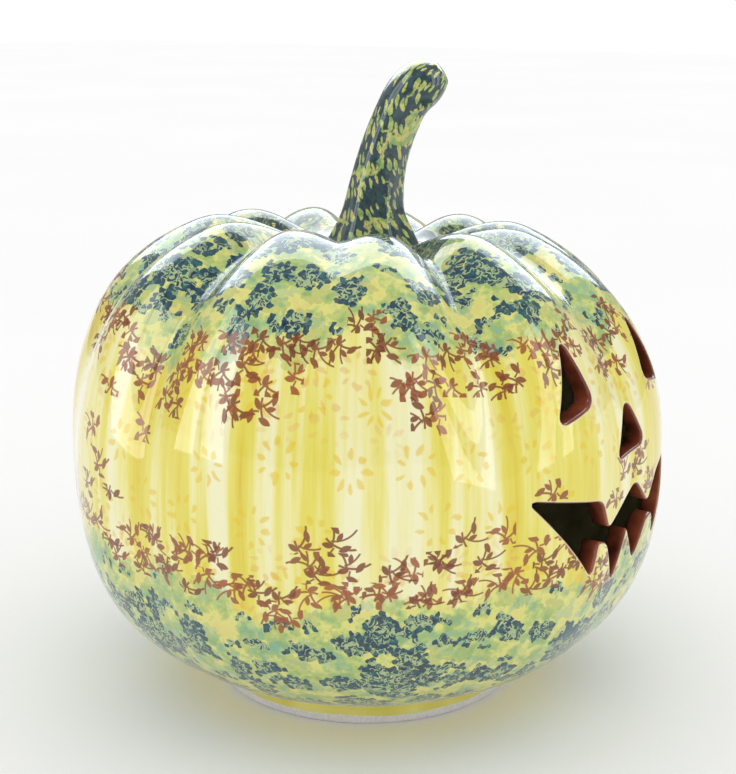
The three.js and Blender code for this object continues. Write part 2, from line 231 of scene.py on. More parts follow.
# Share of the crown's rise at which the grooves and the dip are at their full depth.
CROWN_FULL = 0.8
SLOPE_STEP = 1e-3
SEARCH_STEPS = 14
SEARCH_NUDGE = 1e-5
LONGEST_STRIDE = 0.2
FOOT_TOP = 0.0123
FOOT_INNER = 0.0545


def arch(shape, radius, squareness):
    return (1 - lesser(1.0, radius / shape.body_radius) ** squareness) ** (1 / squareness)


def side_view(shape, latitude):
    """Radius and height of the plain round form at a latitude."""
    upper = above(latitude, 0.0)
    squareness = upper * (CROWN_SQUARENESS - BELLY_SQUARENESS) + BELLY_SQUARENESS
    radius = shape.body_radius * magnitude(cosine(latitude)) ** (2 / squareness)
    shaped_by = greater(radius, upper * SEAT_RADIUS)
    well = shape.well_depth * upper * greater(0.0, 1 - (shaped_by / WELL_RADIUS) ** 2.0) ** 2.0
    rise = upper * (shape.crown_rise + shape.belly_drop) - shape.belly_drop
    return radius, rise * arch(shape, shaped_by, squareness) - well + EQUATOR


def crown_share(shape, height):
    return ramp(height, EQUATOR, shape.crown_rise * CROWN_FULL + EQUATOR)


def groove_sink(shape, angle, radius, height):
    """How far the surface sinks between two lobes."""
    turn = angle * shape.lobes / -TURN
    nearest = wrapped(whole(turn + 0.5), shape.lobes)
    share = sum(part * below(magnitude(nearest - float(i)), 0.5) for i, part in enumerate(GROOVE_SHARE))
    wave = magnitude(sine(turn * math.pi))
    flat = GROOVE_SOFTNESS
    bulge = (root(wave * wave + flat**2) - flat) / (math.hypot(1, flat) - flat)
    deepening = shape.groove_depth_crown - shape.groove_depth_equator
    depth = shape.groove_depth_equator + deepening * crown_share(shape, height)
    near_stem = 1 - above(height, EQUATOR) * (1 - ramp(radius, SEAT_RADIUS, 2 * SEAT_RADIUS))
    return share * depth * (1 - bulge) * ramp(height, GROOVE_START, GROOVE_FULL) * near_stem


def wall_point(shape, angle, latitude, inset):
    """Where the slab's (angle, latitude, depth under the surface) lies on the body."""
    radius, height = side_view(shape, latitude)
    ahead = side_view(shape, latitude + SLOPE_STEP)
    behind = side_view(shape, latitude - SLOPE_STEP)
    out = ahead[1] - behind[1]
    up = behind[0] - ahead[0]
    sink = (groove_sink(shape, angle, radius, height) + inset) / root(out * out + up * up)
    radius = radius - sink * out
    level = greater(height - sink * up, FOOT_TOP)
    x = radius * sine(angle)
    y = radius * cosine(angle) * -1.0
    along = x * math.sin(DIP_TURN) - y * math.cos(DIP_TURN)
    return x, y, level - shape.crown_dip * crown_share(shape, level) * along / shape.body_radius


def find_on_wall(shape, x, z, inset):
    """Angle and latitude at which a depth of the wall passes through x and z on the face's side."""
    angle = np.arcsin(np.clip(x / shape.body_radius, -1, 1))
    latitude = np.clip((z - EQUATOR) / shape.crown_rise, -1, 1)
    for _ in range(SEARCH_STEPS):
        here = wall_point(shape, angle, latitude, inset)
        turned = wall_point(shape, angle + SEARCH_NUDGE, latitude, inset)
        raised = wall_point(shape, angle, latitude + SEARCH_NUDGE, inset)
        xa, za = (turned[0] - here[0]) / SEARCH_NUDGE, (turned[2] - here[2]) / SEARCH_NUDGE
        xl, zl = (raised[0] - here[0]) / SEARCH_NUDGE, (raised[2] - here[2]) / SEARCH_NUDGE
        det = xa * zl - xl * za
        dx, dz = x - here[0], z - here[2]
        angle = angle + np.clip((dx * zl - dz * xl) / det, -LONGEST_STRIDE, LONGEST_STRIDE)
        latitude = latitude + np.clip((dz * xa - dx * za) / det, -LONGEST_STRIDE, LONGEST_STRIDE)
    return angle, latitude


# ---------------------------------------------------------------- carved face

# Corners in millimetres, X and Z seen from the front, and how far each corner is rounded.
OPENINGS = (
    (((-28, 158), (-40, 129.5), (-21, 135)), 5.0),
    (((26, 158), (21, 135), (40, 131)), 5.0),
    (((4, 131), (-9, 111), (13, 113.5)), 5.0),
    (
        (
            (-53, 105), (-24, 71), (-22, 84), (-15.5, 82), (-7, 64), (0, 84),
            (9, 68), (17, 82), (24, 83), (27, 72), (53, 106),
            (26, 98.5), (17, 88), (5.5, 99.5), (-15.5, 86.5), (-20.5, 98.5),
        ),
        3.2,
    ),
)


def rounded_outline(corners, rounding, spacing):
    """Evenly spaced points round an opening, counter-clockwise seen from the front, in metres."""
    corners = np.array(corners, float) / 1000
    dense = []
    share = np.linspace(0, 1, 12)[:, None]
    for i, corner in enumerate(corners):
        ends = []
        for other in (corners[i - 1], corners[(i + 1) % len(corners)]):
            reach = np.linalg.norm(other - corner)
            ends.append(corner + (other - corner) * min(rounding / 1000, 0.45 * reach) / reach)
        dense.append((1 - share) ** 2 * ends[0] + 2 * share * (1 - share) * corner + share**2 * ends[1])
    closed = np.concatenate(dense + [dense[0][:1]])
    along = np.concatenate([[0], np.cumsum(np.linalg.norm(np.diff(closed, axis=0), axis=1))])
    count = round(along[-1] / spacing)
    even = np.arange(count) * along[-1] / count
    points = np.stack([np.interp(even, along, closed[:, k]) for k in (0, 1)], 1)
    ahead = np.roll(points, -1, 0)
    turning = (points[:, 0] * ahead[:, 1] - ahead[:, 0] * points[:, 1]).sum()
    return points if turning > 0 else points[::-1]


def distance_to(points, loops):
    """Distance from each point to the nearest opening's edge."""
    nearest = np.full(len(points), 1e9)
    for loop in loops:
        reach = np.roll(loop, -1, 0) - loop
        offset = points[:, None] - loop[None]
        share = np.clip((offset * reach).sum(2) / (reach * reach).sum(1), 0, 1)
        nearest = np.minimum(nearest, np.linalg.norm(offset - share[..., None] * reach, axis=2).min(1))
    return nearest


def within(points, loop):
    """Which points lie inside a closed outline."""
    ahead = np.roll(loop, -1, 0)
    x, z = points[:, None, 0], points[:, None, 1]
    crosses = (loop[:, 1] > z) != (ahead[:, 1] > z)
    run = np.where(ahead[:, 1] == loop[:, 1], 1e-12, ahead[:, 1] - loop[:, 1])
    where = loop[:, 0] + (z - loop[:, 1]) * (ahead[:, 0] - loop[:, 0]) / run
    return (crosses & (x < where)).sum(1) % 2 == 1


# ---------------------------------------------------------------- the unrolled slab

SIDES_PER_LOBE = 24
ROW_STEP = 0.0026
OUTLINE_STEP = 0.0009
LIP_SHARES = (0.08, 0.26, 0.5, 0.76, 1.0)
INNER_LIP = 0.0010
POLE_GAP = 0.006
WINDOW_DEG = 45
WINDOW_HEIGHTS = (0.050, 0.172)
WINDOW_TOP = 1.2
# How many lip radii the plain grid keeps away from an opening.
CLEAR_OF_EDGE = 1.35
NEAR_POLE = math.pi / 2 - 1e-3


def arc_table(shape):
    """Latitudes from the foot to the stem, with the distance along the side view from the equator."""
    latitude = np.linspace(-1.55, NEAR_POLE, 6000)
    radius, height = side_view(shape, latitude)
    along = np.concatenate([[0], np.cumsum(np.hypot(np.diff(radius), np.diff(height)))])
    along -= np.interp(0, latitude, along)
    foot = np.interp(FOOT_TOP, height[latitude < 0], latitude[latitude < 0])
    return latitude, along, foot


class Slab:
    """Points as (angle, latitude, depth), with how far each is carved, inside or on the foot."""

    def __init__(self, shape):
        self.shape = shape
        self.rows = []
        self.faces = []
        self.latitudes, self.along, self.foot = arc_table(shape)

    def add(self, angle, latitude, inset, carve=0.0, inside=0.0, on_foot=0.0):
        block = np.stack(np.broadcast_arrays(angle, latitude, inset, carve, inside, on_foot), -1)
        block = block.reshape(-1, 6)
        first = sum(len(row) for row in self.rows)
        self.rows.append(block)
        return first + np.arange(len(block))

    def skin(self, sides, row_step, inset, inside, openings):
        """One face of the wall, round the openings. Returns the ids of its lowest row."""
        start = np.interp(self.foot, self.latitudes, self.along)
        end = np.interp(NEAR_POLE, self.latitudes, self.along) - POLE_GAP
        count = round((end - start) / row_step)
        latitude = np.interp(np.linspace(start, end, count), self.along, self.latitudes)
        angle = -math.pi + TURN * np.arange(sides) / sides
        grid = self.add(angle[None, :], latitude[:, None], inset, 0.0, inside).reshape(count, sides)
        height = side_view(self.shape, latitude)[1]
        rows = np.flatnonzero((height > WINDOW_HEIGHTS[0]) & (height < WINDOW_HEIGHTS[1]) & (latitude < WINDOW_TOP))
        columns = np.flatnonzero(np.abs(angle) < math.radians(WINDOW_DEG))
        low, high, left, right = rows[0], rows[-1], columns[0], columns[-1]
        for i in range(count - 1):
            for j in range(sides):
                if low <= i < high and left <= j < right:
                    continue
                k = (j + 1) % sides
                self.face((grid[i, j], grid[i, k], grid[i + 1, k], grid[i + 1, j]), inside)
        pole = self.add(0.0, NEAR_POLE, inset, 0.0, inside)[0]
        for j in range(sides):
            self.face((grid[-1, j], grid[-1, (j + 1) % sides], pole), inside)
        window = grid[low : high + 1, left : right + 1]
        self.fill_window(window, angle[left : right + 1], latitude[low : high + 1], inset, inside, openings)
        return grid[0]

    def face(self, ids, inside):
        """Adds a face that looks away from the clay."""
        self.faces.append(tuple(reversed(ids)) if inside else tuple(ids))

    def fill_window(self, window, angle, latitude, inset, inside, openings):
        x, _, z = wall_point(self.shape, angle[None, :], latitude[:, None], inset)
        flat = np.stack([x, z], 2)
        loops = [opening.outline for opening in openings]
        inner = flat[1:-1, 1:-1].reshape(-1, 2)
        inner_ids = window[1:-1, 1:-1].reshape(-1)
        clear = distance_to(inner, loops) > CLEAR_OF_EDGE * openings[0].lip
        clear &= ~np.any([within(inner, loop) for loop in loops], axis=0)
        rim, rim_flat = (
            np.concatenate([grid[0, :-1], grid[:-1, -1], grid[-1, :0:-1], grid[:0:-1, 0]]) for grid in (window, flat)
        )
        points = [rim_flat, inner[clear]]
        ids = [rim, inner_ids[clear]]
        edges = [(i, (i + 1) % len(rim)) for i in range(len(rim))]
        total = len(rim) + clear.sum()
        for opening in openings:
            ring_points, ring_ids, loop_ids = opening.rings(self, inset, inside, loops)
            points += [opening.outline, ring_points]
            ids += [loop_ids, ring_ids]
            size = len(opening.outline)
            edges += [(total + i, total + (i + 1) % size) for i in range(size)]
            total += size + len(ring_points)
        points = np.concatenate(points)
        ids = np.concatenate(ids)
        flat_points = [Vector((float(a), float(b))) for a, b in points * 1000]
        made, _, triangles, origin, _, _ = delaunay_2d_cdt(flat_points, edges, [], 0, 1e-5)
        if any(not source for source in origin):
            raise RuntimeError("the openings' outlines cross each other")
        names = np.array([ids[source[0]] for source in origin])
        place = np.array([v[:] for v in made]) / 1000
        triangles = np.array(triangles)
        centre = place[triangles].mean(1)
        keep = within(centre, rim_flat) & ~np.any([within(centre, loop) for loop in loops], axis=0)
        for triangle in triangles[keep]:
            self.face(names[triangle], inside)

    def mesh(self, name):
        used, renumbered = np.unique(np.concatenate(self.faces), return_inverse=True)
        data = np.concatenate(self.rows)[used]
        ends = np.cumsum([len(face) for face in self.faces])[:-1]
        faces = [part.tolist() for part in np.split(renumbered.ravel(), ends)]
        mesh = bpy.data.meshes.new(name)
        mesh.from_pydata(data[:, :3].tolist(), [], faces)
        for column, label in ((3, "carve"), (4, "inside"), (5, "on_foot")):
            attribute = mesh.attributes.new(label, "FLOAT", "POINT")
            attribute.data.foreach_set("value", data[:, column].astype(np.float32))
        across = data[:, 0]
        up = np.interp(data[:, 1], self.latitudes, self.along)
        layer = mesh.uv_layers.new(name="band")
        values = np.empty((len(mesh.loops), 2), np.float32)
        for face in mesh.polygons:
            ids = list(face.vertices)
            turn = across[ids]
            on_pole = data[ids, 1] >= NEAR_POLE
            if turn[~on_pole].max() - turn[~on_pole].min() > math.pi:
                turn = np.where(turn < 0, turn + TURN, turn)
            turn[on_pole] = turn[~on_pole].mean()
            place = np.stack([turn * self.shape.body_radius * 1000, up[ids] * 1000], 1)
            values[face.loop_start : face.loop_start + len(ids)] = place
        layer.data.foreach_set("uv", values.ravel())
        return mesh


class Opening:
    """A hole cut straight back through the wall, with both of its edges sponged round."""

    def __init__(self, corners, rounding, lip, inner_lip):
        self.outline = rounded_outline(corners, rounding, OUTLINE_STEP)
        self.lip = lip
        self.inner_lip = inner_lip
        self.edge_ids = {}

    def rings(self, slab, inset, inside, loops):
        """Points beside the edge, sinking into the rounded lip, and the edge itself."""
        reach = self.inner_lip if inside else self.lip
        sign = -1 if inside else 1
        ahead = np.roll(self.outline, -1, 0) - np.roll(self.outline, 1, 0)
        ahead /= np.linalg.norm(ahead, axis=1)[:, None]
        outward = np.stack([ahead[:, 1], -ahead[:, 0]], 1)
        points, ids = [], []
        for share in LIP_SHARES:
            away = reach * share
            ring = self.outline + outward * away
            true = distance_to(ring, loops)
            ring = ring[np.abs(true - away) < 0.1 * away + 0.00001]
            depth = inset + sign * (reach - math.sqrt(max(0.0, reach**2 - (reach - away) ** 2)))
            points.append(ring)
            ids.append(slab.add(*find_on_wall(slab.shape, *ring.T, depth), depth, 1 - share, inside))
        self.edge_ids[inside] = self.edge(slab, inset + sign * reach, inside)
        return np.concatenate(points), np.concatenate(ids), self.edge_ids[inside]

    def edge(self, slab, depth, inside):
        """The outline's own points, laid at a depth of the wall."""
        return slab.add(*find_on_wall(slab.shape, *self.outline.T, depth), depth, 1.0, inside)

    def cut_face(self, slab):
        """The cut face between the two edges."""
        rows = [self.edge_ids[0.0]]
        start, end = self.lip, slab.shape.wall - self.inner_lip
        rows += [self.edge(slab, start + (end - start) * share, share) for share in (0.33, 0.67)]
        rows.append(self.edge_ids[1.0])
        size = len(self.outline)
        for outer, inner in zip(rows, rows[1:]):
            for i in range(size):
                k = (i + 1) % size
                slab.faces.append((outer[i], outer[k], inner[k], inner[i]))


def carved_slab(shape):
    slab = Slab(shape)
    openings = [Opening(corners, rounding, shape.lip, INNER_LIP) for corners, rounding in OPENINGS]
    sides = shape.lobes * SIDES_PER_LOBE
    outer_foot = slab.skin(sides, ROW_STEP, 0.0, 0.0, openings)
    inner_foot = slab.skin(sides // 2, ROW_STEP * 2, shape.wall, 1.0, openings)
    for opening in openings:
        opening.cut_face(slab)
    angle = -math.pi + TURN * np.arange(sides // 2) / (sides // 2)
    under = slab.add(angle, slab.foot, 0.0, 0.0, 1.0, 1.0)
    half = len(inner_foot)
    for j in range(half):
        k = (j + 1) % half
        slab.faces.append((inner_foot[j], under[j], under[k], inner_foot[k])[::-1])
        a, b, c = outer_foot[2 * j], outer_foot[2 * j + 1], outer_foot[(2 * j + 2) % sides]
        slab.faces.append((under[j], under[k], c, b))
        slab.faces.append((under[j], b, a))
    return slab

# ---------------------------------------------------------------- node trees

NUMBER = "NodeSocketFloat"
VECTOR = "NodeSocketVector"
COLOUR = "NodeSocketColor"
GEOMETRY = "NodeSocketGeometry"
SHADER_TREE = "ShaderNodeTree"
GEOMETRY_TREE = "GeometryNodeTree"


def new_tree(name, kind, inputs, outputs):
    """An empty node group and its inputs as wires. An input is given by its default number or its type."""
    tree = bpy.data.node_groups.new(name, kind)
    for label, value in inputs.items():
        number = isinstance(value, float)
        socket = tree.interface.new_socket(label, in_out="INPUT", socket_type=NUMBER if number else value)
        if number:
            socket.default_value = value
    for label, socket_type in outputs.items():
        tree.interface.new_socket(label, in_out="OUTPUT", socket_type=socket_type)
    entry = tree.nodes.new("NodeGroupInput")
    return tree, {label: Wire(entry.outputs[label]) for label in inputs}


def spaced(values):
    return {label.replace("_", " "): value for label, value in values.items()}


def close_tree(tree, **results):
    lay(tree, "NodeGroupOutput", spaced(results))


def use(group, **values):
    """Places a shader group beside its inputs and returns its outputs as wires."""
    node = lay(tree_of(values.values()), "ShaderNodeGroup", spaced(values), node_tree=group)
    return {socket.name: Wire(socket) for socket in node.outputs}


def joined(x, y, z=0.0):
    return Wire(lay(tree_of((x, y, z)), "ShaderNodeCombineXYZ", enumerate((x, y, z))).outputs[0])


def parted(wire):
    return [Wire(socket) for socket in lay(wire.tree, "ShaderNodeSeparateXYZ", {0: wire}).outputs]


def noise(place, scale, detail=2.0, roughness=0.5, distortion=0.0, output="Fac"):
    inputs = dict(Vector=place, Scale=scale, Detail=detail, Roughness=roughness, Distortion=distortion)
    return Wire(lay(place.tree, "ShaderNodeTexNoise", inputs).outputs[output])


def stir(place, scale, detail=1.0, count=2):
    """Independent noises about zero, to push a place sideways with."""
    return [part - 0.5 for part in parted(noise(place, scale, detail, output="Color"))[:count]]


def chance(*cell):
    """Three random numbers for a cell."""
    node = lay(tree_of(cell), "ShaderNodeTexWhiteNoise", {"Vector": joined(*cell)}, noise_dimensions="3D")
    return parted(Wire(node.outputs["Color"]))


def cells(x, y, size, randomness, shift):
    """Distance to the nearest scattered centre in millimetres, the centre, and its random numbers."""
    inputs = dict(Vector=joined(x + shift, y + shift), Scale=1 / size, Randomness=randomness)
    found = lay(x.tree, "ShaderNodeTexVoronoi", inputs, voronoi_dimensions="2D").outputs
    centre_x, centre_y, _ = parted(Wire(found["Position"]))
    return Wire(found["Distance"]) * size, centre_x - shift, centre_y - shift, parted(Wire(found["Color"]))


def rgba(shade):
    """A wire as it is. A property, three linear values or six hexadecimal digits as four linear values."""
    if isinstance(shade, Wire):
        return shade
    return (*(linear(shade) if isinstance(shade, str) else shade), 1.0)


def blend(share, first, second):
    """Second over first, by share."""
    inputs = {0: share, 6: rgba(first), 7: rgba(second)}
    return Wire(lay(share.tree, "ShaderNodeMix", inputs, data_type="RGBA", clamp_factor=True).outputs[2])


def shades(value, *stops):
    """A colour ramp through (position, colour) stops."""
    node = lay(value.tree, "ShaderNodeValToRGB", {"Fac": value})
    elements = node.color_ramp.elements
    for element, (position, shade) in zip(elements, (stops[0], stops[-1])):
        element.position, element.color = position, rgba(shade)
    for position, shade in stops[1:-1]:
        elements.new(position).color = rgba(shade)
    return Wire(node.outputs["Color"])


# ---------------------------------------------------------------- stamps and leaves, in millimetres

UNROLLED_RADIUS = 120.0
# Seed and swing of the two wavy borders, and their mean heights above the equator.
UPPER_BORDER, UPPER_MEAN = (2.0, 17.0), 62.0
LOWER_BORDER, LOWER_MEAN = (6.0, 12.0), -20.0
# Local place, turn, length or radius, and width of a sprig's leaves and tendrils.
LEAVES = (
    (2.2, 3.6, 1.9, 2.1, 0.95), (4.4, -0.6, 0.5, 2.1, 1.0), (-4.2, 1.4, 3.7, 2.0, 0.9),
    (-1.4, 2.5, 2.5, 1.7, 0.75), (0.6, -1.4, 4.4, 1.8, 0.9),
)
TENDRILS = (
    (-1.6, -1.6, 0.55, 9.0, 0.62), (-0.6, -0.2, 1.35, 8.0, 0.5),
    (1.2, -0.6, 2.5, 8.0, 0.6), (1.6, 0.4, -0.9, 6.0, 0.5),
)
SPRIG_SIZE = 1.16
SPRIG_ROW = 10.5
SPRIG_TURNING = 3.2
PETALS = 8.0
PETAL_ROW = 21.0
PETAL_LENGTH, PETAL_WIDTH = 1.9, 0.95


def cloud_stamp_group():
    """Sponge stamps made of small round dabs: rosettes, or bows whose wings point back to the centre."""
    inputs = dict(X=0.0, Y=0.0, Cell=24.0, Reach=9.0, Dab=3.0, Seed=0.0, Bow=0.0)
    outputs = dict.fromkeys(("Ink", "Hooks", "Centre X", "Centre Y", "Random"), NUMBER)
    tree, put = new_tree("cloud stamps", SHADER_TREE, inputs, outputs)
    x, y, dab, seed = put["X"], put["Y"], put["Dab"], put["Seed"]
    warp_x, warp_y = stir(joined(x, y, seed), 0.34)
    x = x + warp_x * dab * 0.75
    y = y + warp_y * dab * 0.75
    away, dab_x, dab_y, luck = cells(x, y, dab, 0.62, seed * 31.7 + 500.0)
    _, centre_x, centre_y, dice = cells(dab_x, dab_y, put["Cell"], 0.72, seed * 17.3 + 900.0)
    bend_x, bend_y = stir(joined(dab_x, dab_y, seed + 9.0), 0.11)
    off_x = dab_x - centre_x + bend_x * put["Reach"] * 2.0
    off_y = dab_y - centre_y + bend_y * put["Reach"] * 2.0
    far = root(centre_x * centre_x + centre_y * centre_y) + 0.01
    outward = (off_x * centre_x + off_y * centre_y) / far
    sideways = magnitude(off_x * centre_y - off_y * centre_x) / far
    reach = put["Reach"] * (dice[0] * 0.55 + 0.62)
    from_centre = root(outward * outward * 1.25 + sideways * sideways)
    rosette = below(from_centre, reach)
    wing = below(magnitude(outward + sideways * 0.75 - reach * 0.3), reach * 0.42) * below(sideways, reach)
    chosen = rosette + (wing - rosette) * put["Bow"]
    size = dab * (luck[0] * 0.12 + 0.62)
    ink = chosen * ramp(away, size + 0.22, size - 0.16)
    curls = ramp(magnitude(noise(joined(x, y, seed + 5.0), 0.36, 1.0, 0.5, 0.9) - 0.5), 0.076, 0.046)
    heart = 1 - ramp(from_centre, reach * 0.66, reach * 0.9)
    close_tree(tree, Ink=ink, Hooks=curls * heart, Centre_X=centre_x, Centre_Y=centre_y, Random=dice[1])
    return tree


def seen_from(spot, x, y, turn):
    """The spot measured from x and y, with its first axis along turn."""
    inputs = dict(Vector=spot, Location=(x, y, 0), Rotation=(0, 0, turn))
    return Wire(lay(spot.tree, "ShaderNodeMapping", inputs, vector_type="TEXTURE").outputs[0])


def vector_maths(operation, *values, output="Vector"):
    return Wire(lay(values[0].tree, "ShaderNodeVectorMath", enumerate(values), operation=operation).outputs[output])


def almond_curve(long, wide):
    """Radius of the two arcs that bound a pointed leaf, from its half length and half width."""
    return (long**2 + wide**2) / (2 * wide)


def almond(spot, x, y, turn, long, wide):
    """Signed distance to a pointed leaf at x and y whose tip points along turn."""
    curve = almond_curve(long, wide)
    quarter = vector_maths("ABSOLUTE", seen_from(spot, x, y, turn))
    return vector_maths("LENGTH", vector_maths("ADD", quarter, (0, curve - wide, 0)), output="Value") - curve


def tendril(spot, x, y, turn, radius, width):
    """Signed distance to a thin arc, a sixth of a circle, that springs from x and y towards turn."""
    along, across, _ = parted(seen_from(spot, x, y, turn))
    across = across - radius
    ring = magnitude(root(along * along + across * across) - radius)
    ends = greater(-along, across + radius * 0.45)
    return greater(ring - width * 0.5, ends)


def sprig_group():
    """A sprig of pointed leaves and curved tendrils that grows along +Y, as a signed distance."""
    tree, put = new_tree("leaf sprig", SHADER_TREE, dict(X=0.0, Y=0.0), dict(Distance=NUMBER))
    spot = joined(put["X"], put["Y"])
    parts = [almond(spot, *leaf) for leaf in LEAVES] + [tendril(spot, *curl) for curl in TENDRILS]
    close_tree(tree, Distance=reduce(lesser, parts))
    return tree


def border_group():
    """How far a border wanders from its mean height at an angle round the body."""
    tree, put = new_tree("border line", SHADER_TREE, dict(Angle=0.0, Seed=0.0, Swing=12.0), dict(Height=NUMBER))
    angle = put["Angle"]
    place = joined(sine(angle) * UNROLLED_RADIUS, cosine(angle) * UNROLLED_RADIUS, put["Seed"] * 77.0)
    close_tree(tree, Height=(noise(place, 0.034, 1.0) - 0.5) * put["Swing"] * 4.0)
    return tree


def border_height(groups, angle, border):
    seed, swing = border
    return use(groups.border, Angle=angle, Seed=seed, Swing=swing)["Height"]


def scattered_cells(across, up, count, row, seed, jitter):
    """A staggered grid round the body. Gives the local place, the cell's centre and random numbers."""
    width = TURN * UNROLLED_RADIUS / count
    level = whole(up / row + seed * 0.37)
    shift = wrapped(level, 2.0) * 0.5 + seed * 0.213
    column = whole(across / width + shift)
    luck = chance(wrapped(column, float(count)), level, seed)
    centre_x = (column + 0.5 - shift + (luck[0] - 0.5) * jitter) * width
    centre_y = (level + 0.5 - seed * 0.37 + (luck[1] - 0.5) * jitter) * row
    return across - centre_x, up - centre_y, centre_x, centre_y, luck


def sprigs(groups, across, up, count, seed, base, border, way):
    """Leaf sprigs along one border. way is 1 where they stand up and -1 where they hang."""
    x, y, centre_x, centre_y, luck = scattered_cells(across, up, count, SPRIG_ROW, seed, 0.55)
    line = border_height(groups, centre_x / UNROLLED_RADIUS, border) + base
    beyond = (centre_y - line) * way
    present = above(beyond, -6.0) * below(beyond, (1 - luck[2]) ** 2.0 * 30.0 + 3.0)
    turn = (luck[0] + luck[1] - 1.0) * SPRIG_TURNING + (0.0 if way > 0 else math.pi)
    cos, sin = cosine(turn), sine(turn)
    local_x, local_y = (x * cos + y * sin) / SPRIG_SIZE, (y * cos - x * sin) / SPRIG_SIZE
    distance = use(groups.sprig, X=local_x, Y=local_y)["Distance"]
    return present * ramp(distance, 0.2, -0.14), luck[0]


def petal_rings(across, up, count, seed, low, high):
    """Rings of pointed petals scattered on the middle band."""
    x, y, _, centre_y, luck = scattered_cells(across, up, count, PETAL_ROW, seed, 0.3)
    push_x, push_y = stir(joined(across, up, seed), 0.16)
    x, y = x + push_x * 5.0, y + push_y * 5.0
    angle = bearing(y, x) / TURN * PETALS + luck[0] * 3.0
    fan = (angle - whole(angle) - 0.5) * (TURN / PETALS)
    far = root(x * x + y * y)
    along = far * cosine(fan) - (luck[1] * 1.6 + 4.6)
    beside = magnitude(far * sine(fan))
    curve = almond_curve(PETAL_LENGTH, PETAL_WIDTH)
    distance = root((beside + (curve - PETAL_WIDTH)) ** 2.0 + along * along) - curve
    present = below(luck[2], 0.8) * above(centre_y, low) * below(centre_y, high)
    return present * ramp(distance, 0.35, -0.35)


# ---------------------------------------------------------------- the painting, in millimetres

STAMP_LAYERS = (
    # cell, reach, dab, seed, bow, chance, margin to the border, strength, colour (None is ink)
    (13.0, 6.0, 1.6, 3.0, 0.0, 0.95, -1.0, 0.36, "7FA25E"),
    (14.0, 6.0, 1.7, 8.0, 1.0, 0.95, 1.0, 0.34, "6FAE9C"),
    (14.5, 5.4, 2.0, 4.0, 1.0, 0.86, 1.0, 0.96, None),
    (17.0, 6.6, 2.1, 15.0, 0.0, 0.78, 7.0, 0.96, None),
    (24.0, 10.5, 2.3, 11.0, 0.0, 0.9, 24.0, 0.97, None),
)
SPRIG_LAYERS = (
    # number round the body, seed, mean height, border, way
    (56, 2.0, 60.0, UPPER_BORDER, -1),
    (49, 7.0, 61.0, UPPER_BORDER, -1),
    (54, 4.0, -17.0, LOWER_BORDER, 1),
    (47, 9.0, -15.0, LOWER_BORDER, 1),
)
BAND_MIDDLE = 20.0
FOOT_CAP_RADIUS = 70.0
# Half width in which the green fades into the band, and how ragged its edge is.
GREEN_FADE, GREEN_RAGGED = 4.0, 14.0


def middle_band(paint, across, up, sin, cos):
    """Upright brush strokes with ring flowers, and fainter ones near the borders."""
    place = joined(sin * UNROLLED_RADIUS, cos * UNROLLED_RADIUS, up / 16.0)
    streak = noise(place, 0.075, 1.5) * 1.35 + noise(place, 0.42, 3.0, 0.6) * 0.40 - 0.37
    strokes = ((0.32, paint.cream), (0.45, "EFE89A"), (0.57, paint.yellow), (0.74, "E0CC44"), (0.92, paint.ochre))
    flowers = petal_rings(across, up, 32, 1.0, -22.0, 50.0)
    band = blend(flowers * 0.62, shades(streak, *strokes), paint.petal)
    ghosts = petal_rings(across, up, 36, 5.0, -40.0, 72.0)
    near_border = greater(ramp(up, 22.0, 46.0), ramp(up, 6.0, -16.0))
    return blend(ghosts * near_border * 0.42, band, "DFA452")


def mottled_greens(paint, solid):
    """Dabbed greens of the crown and belly."""
    pushed = [part + push * 0.004 for part, push in zip(parted(solid), stir(solid, 260.0, count=3))]
    daub = lay(solid.tree, "ShaderNodeTexVoronoi", dict(Vector=joined(*pushed), Scale=300.0))
    daub_tone = parted(Wire(daub.outputs["Color"]))[0]
    tone = noise(solid, 190.0, 2.5, 0.6) * 0.7 + noise(solid, 62.0, 1.5) * 0.6 + daub_tone * 0.11 - 0.20
    return shades(tone, (0.26, paint.water), (0.37, paint.moss), (0.46, "BCCC78"), (0.56, "DFDC80"), (0.74, "DED07A"))


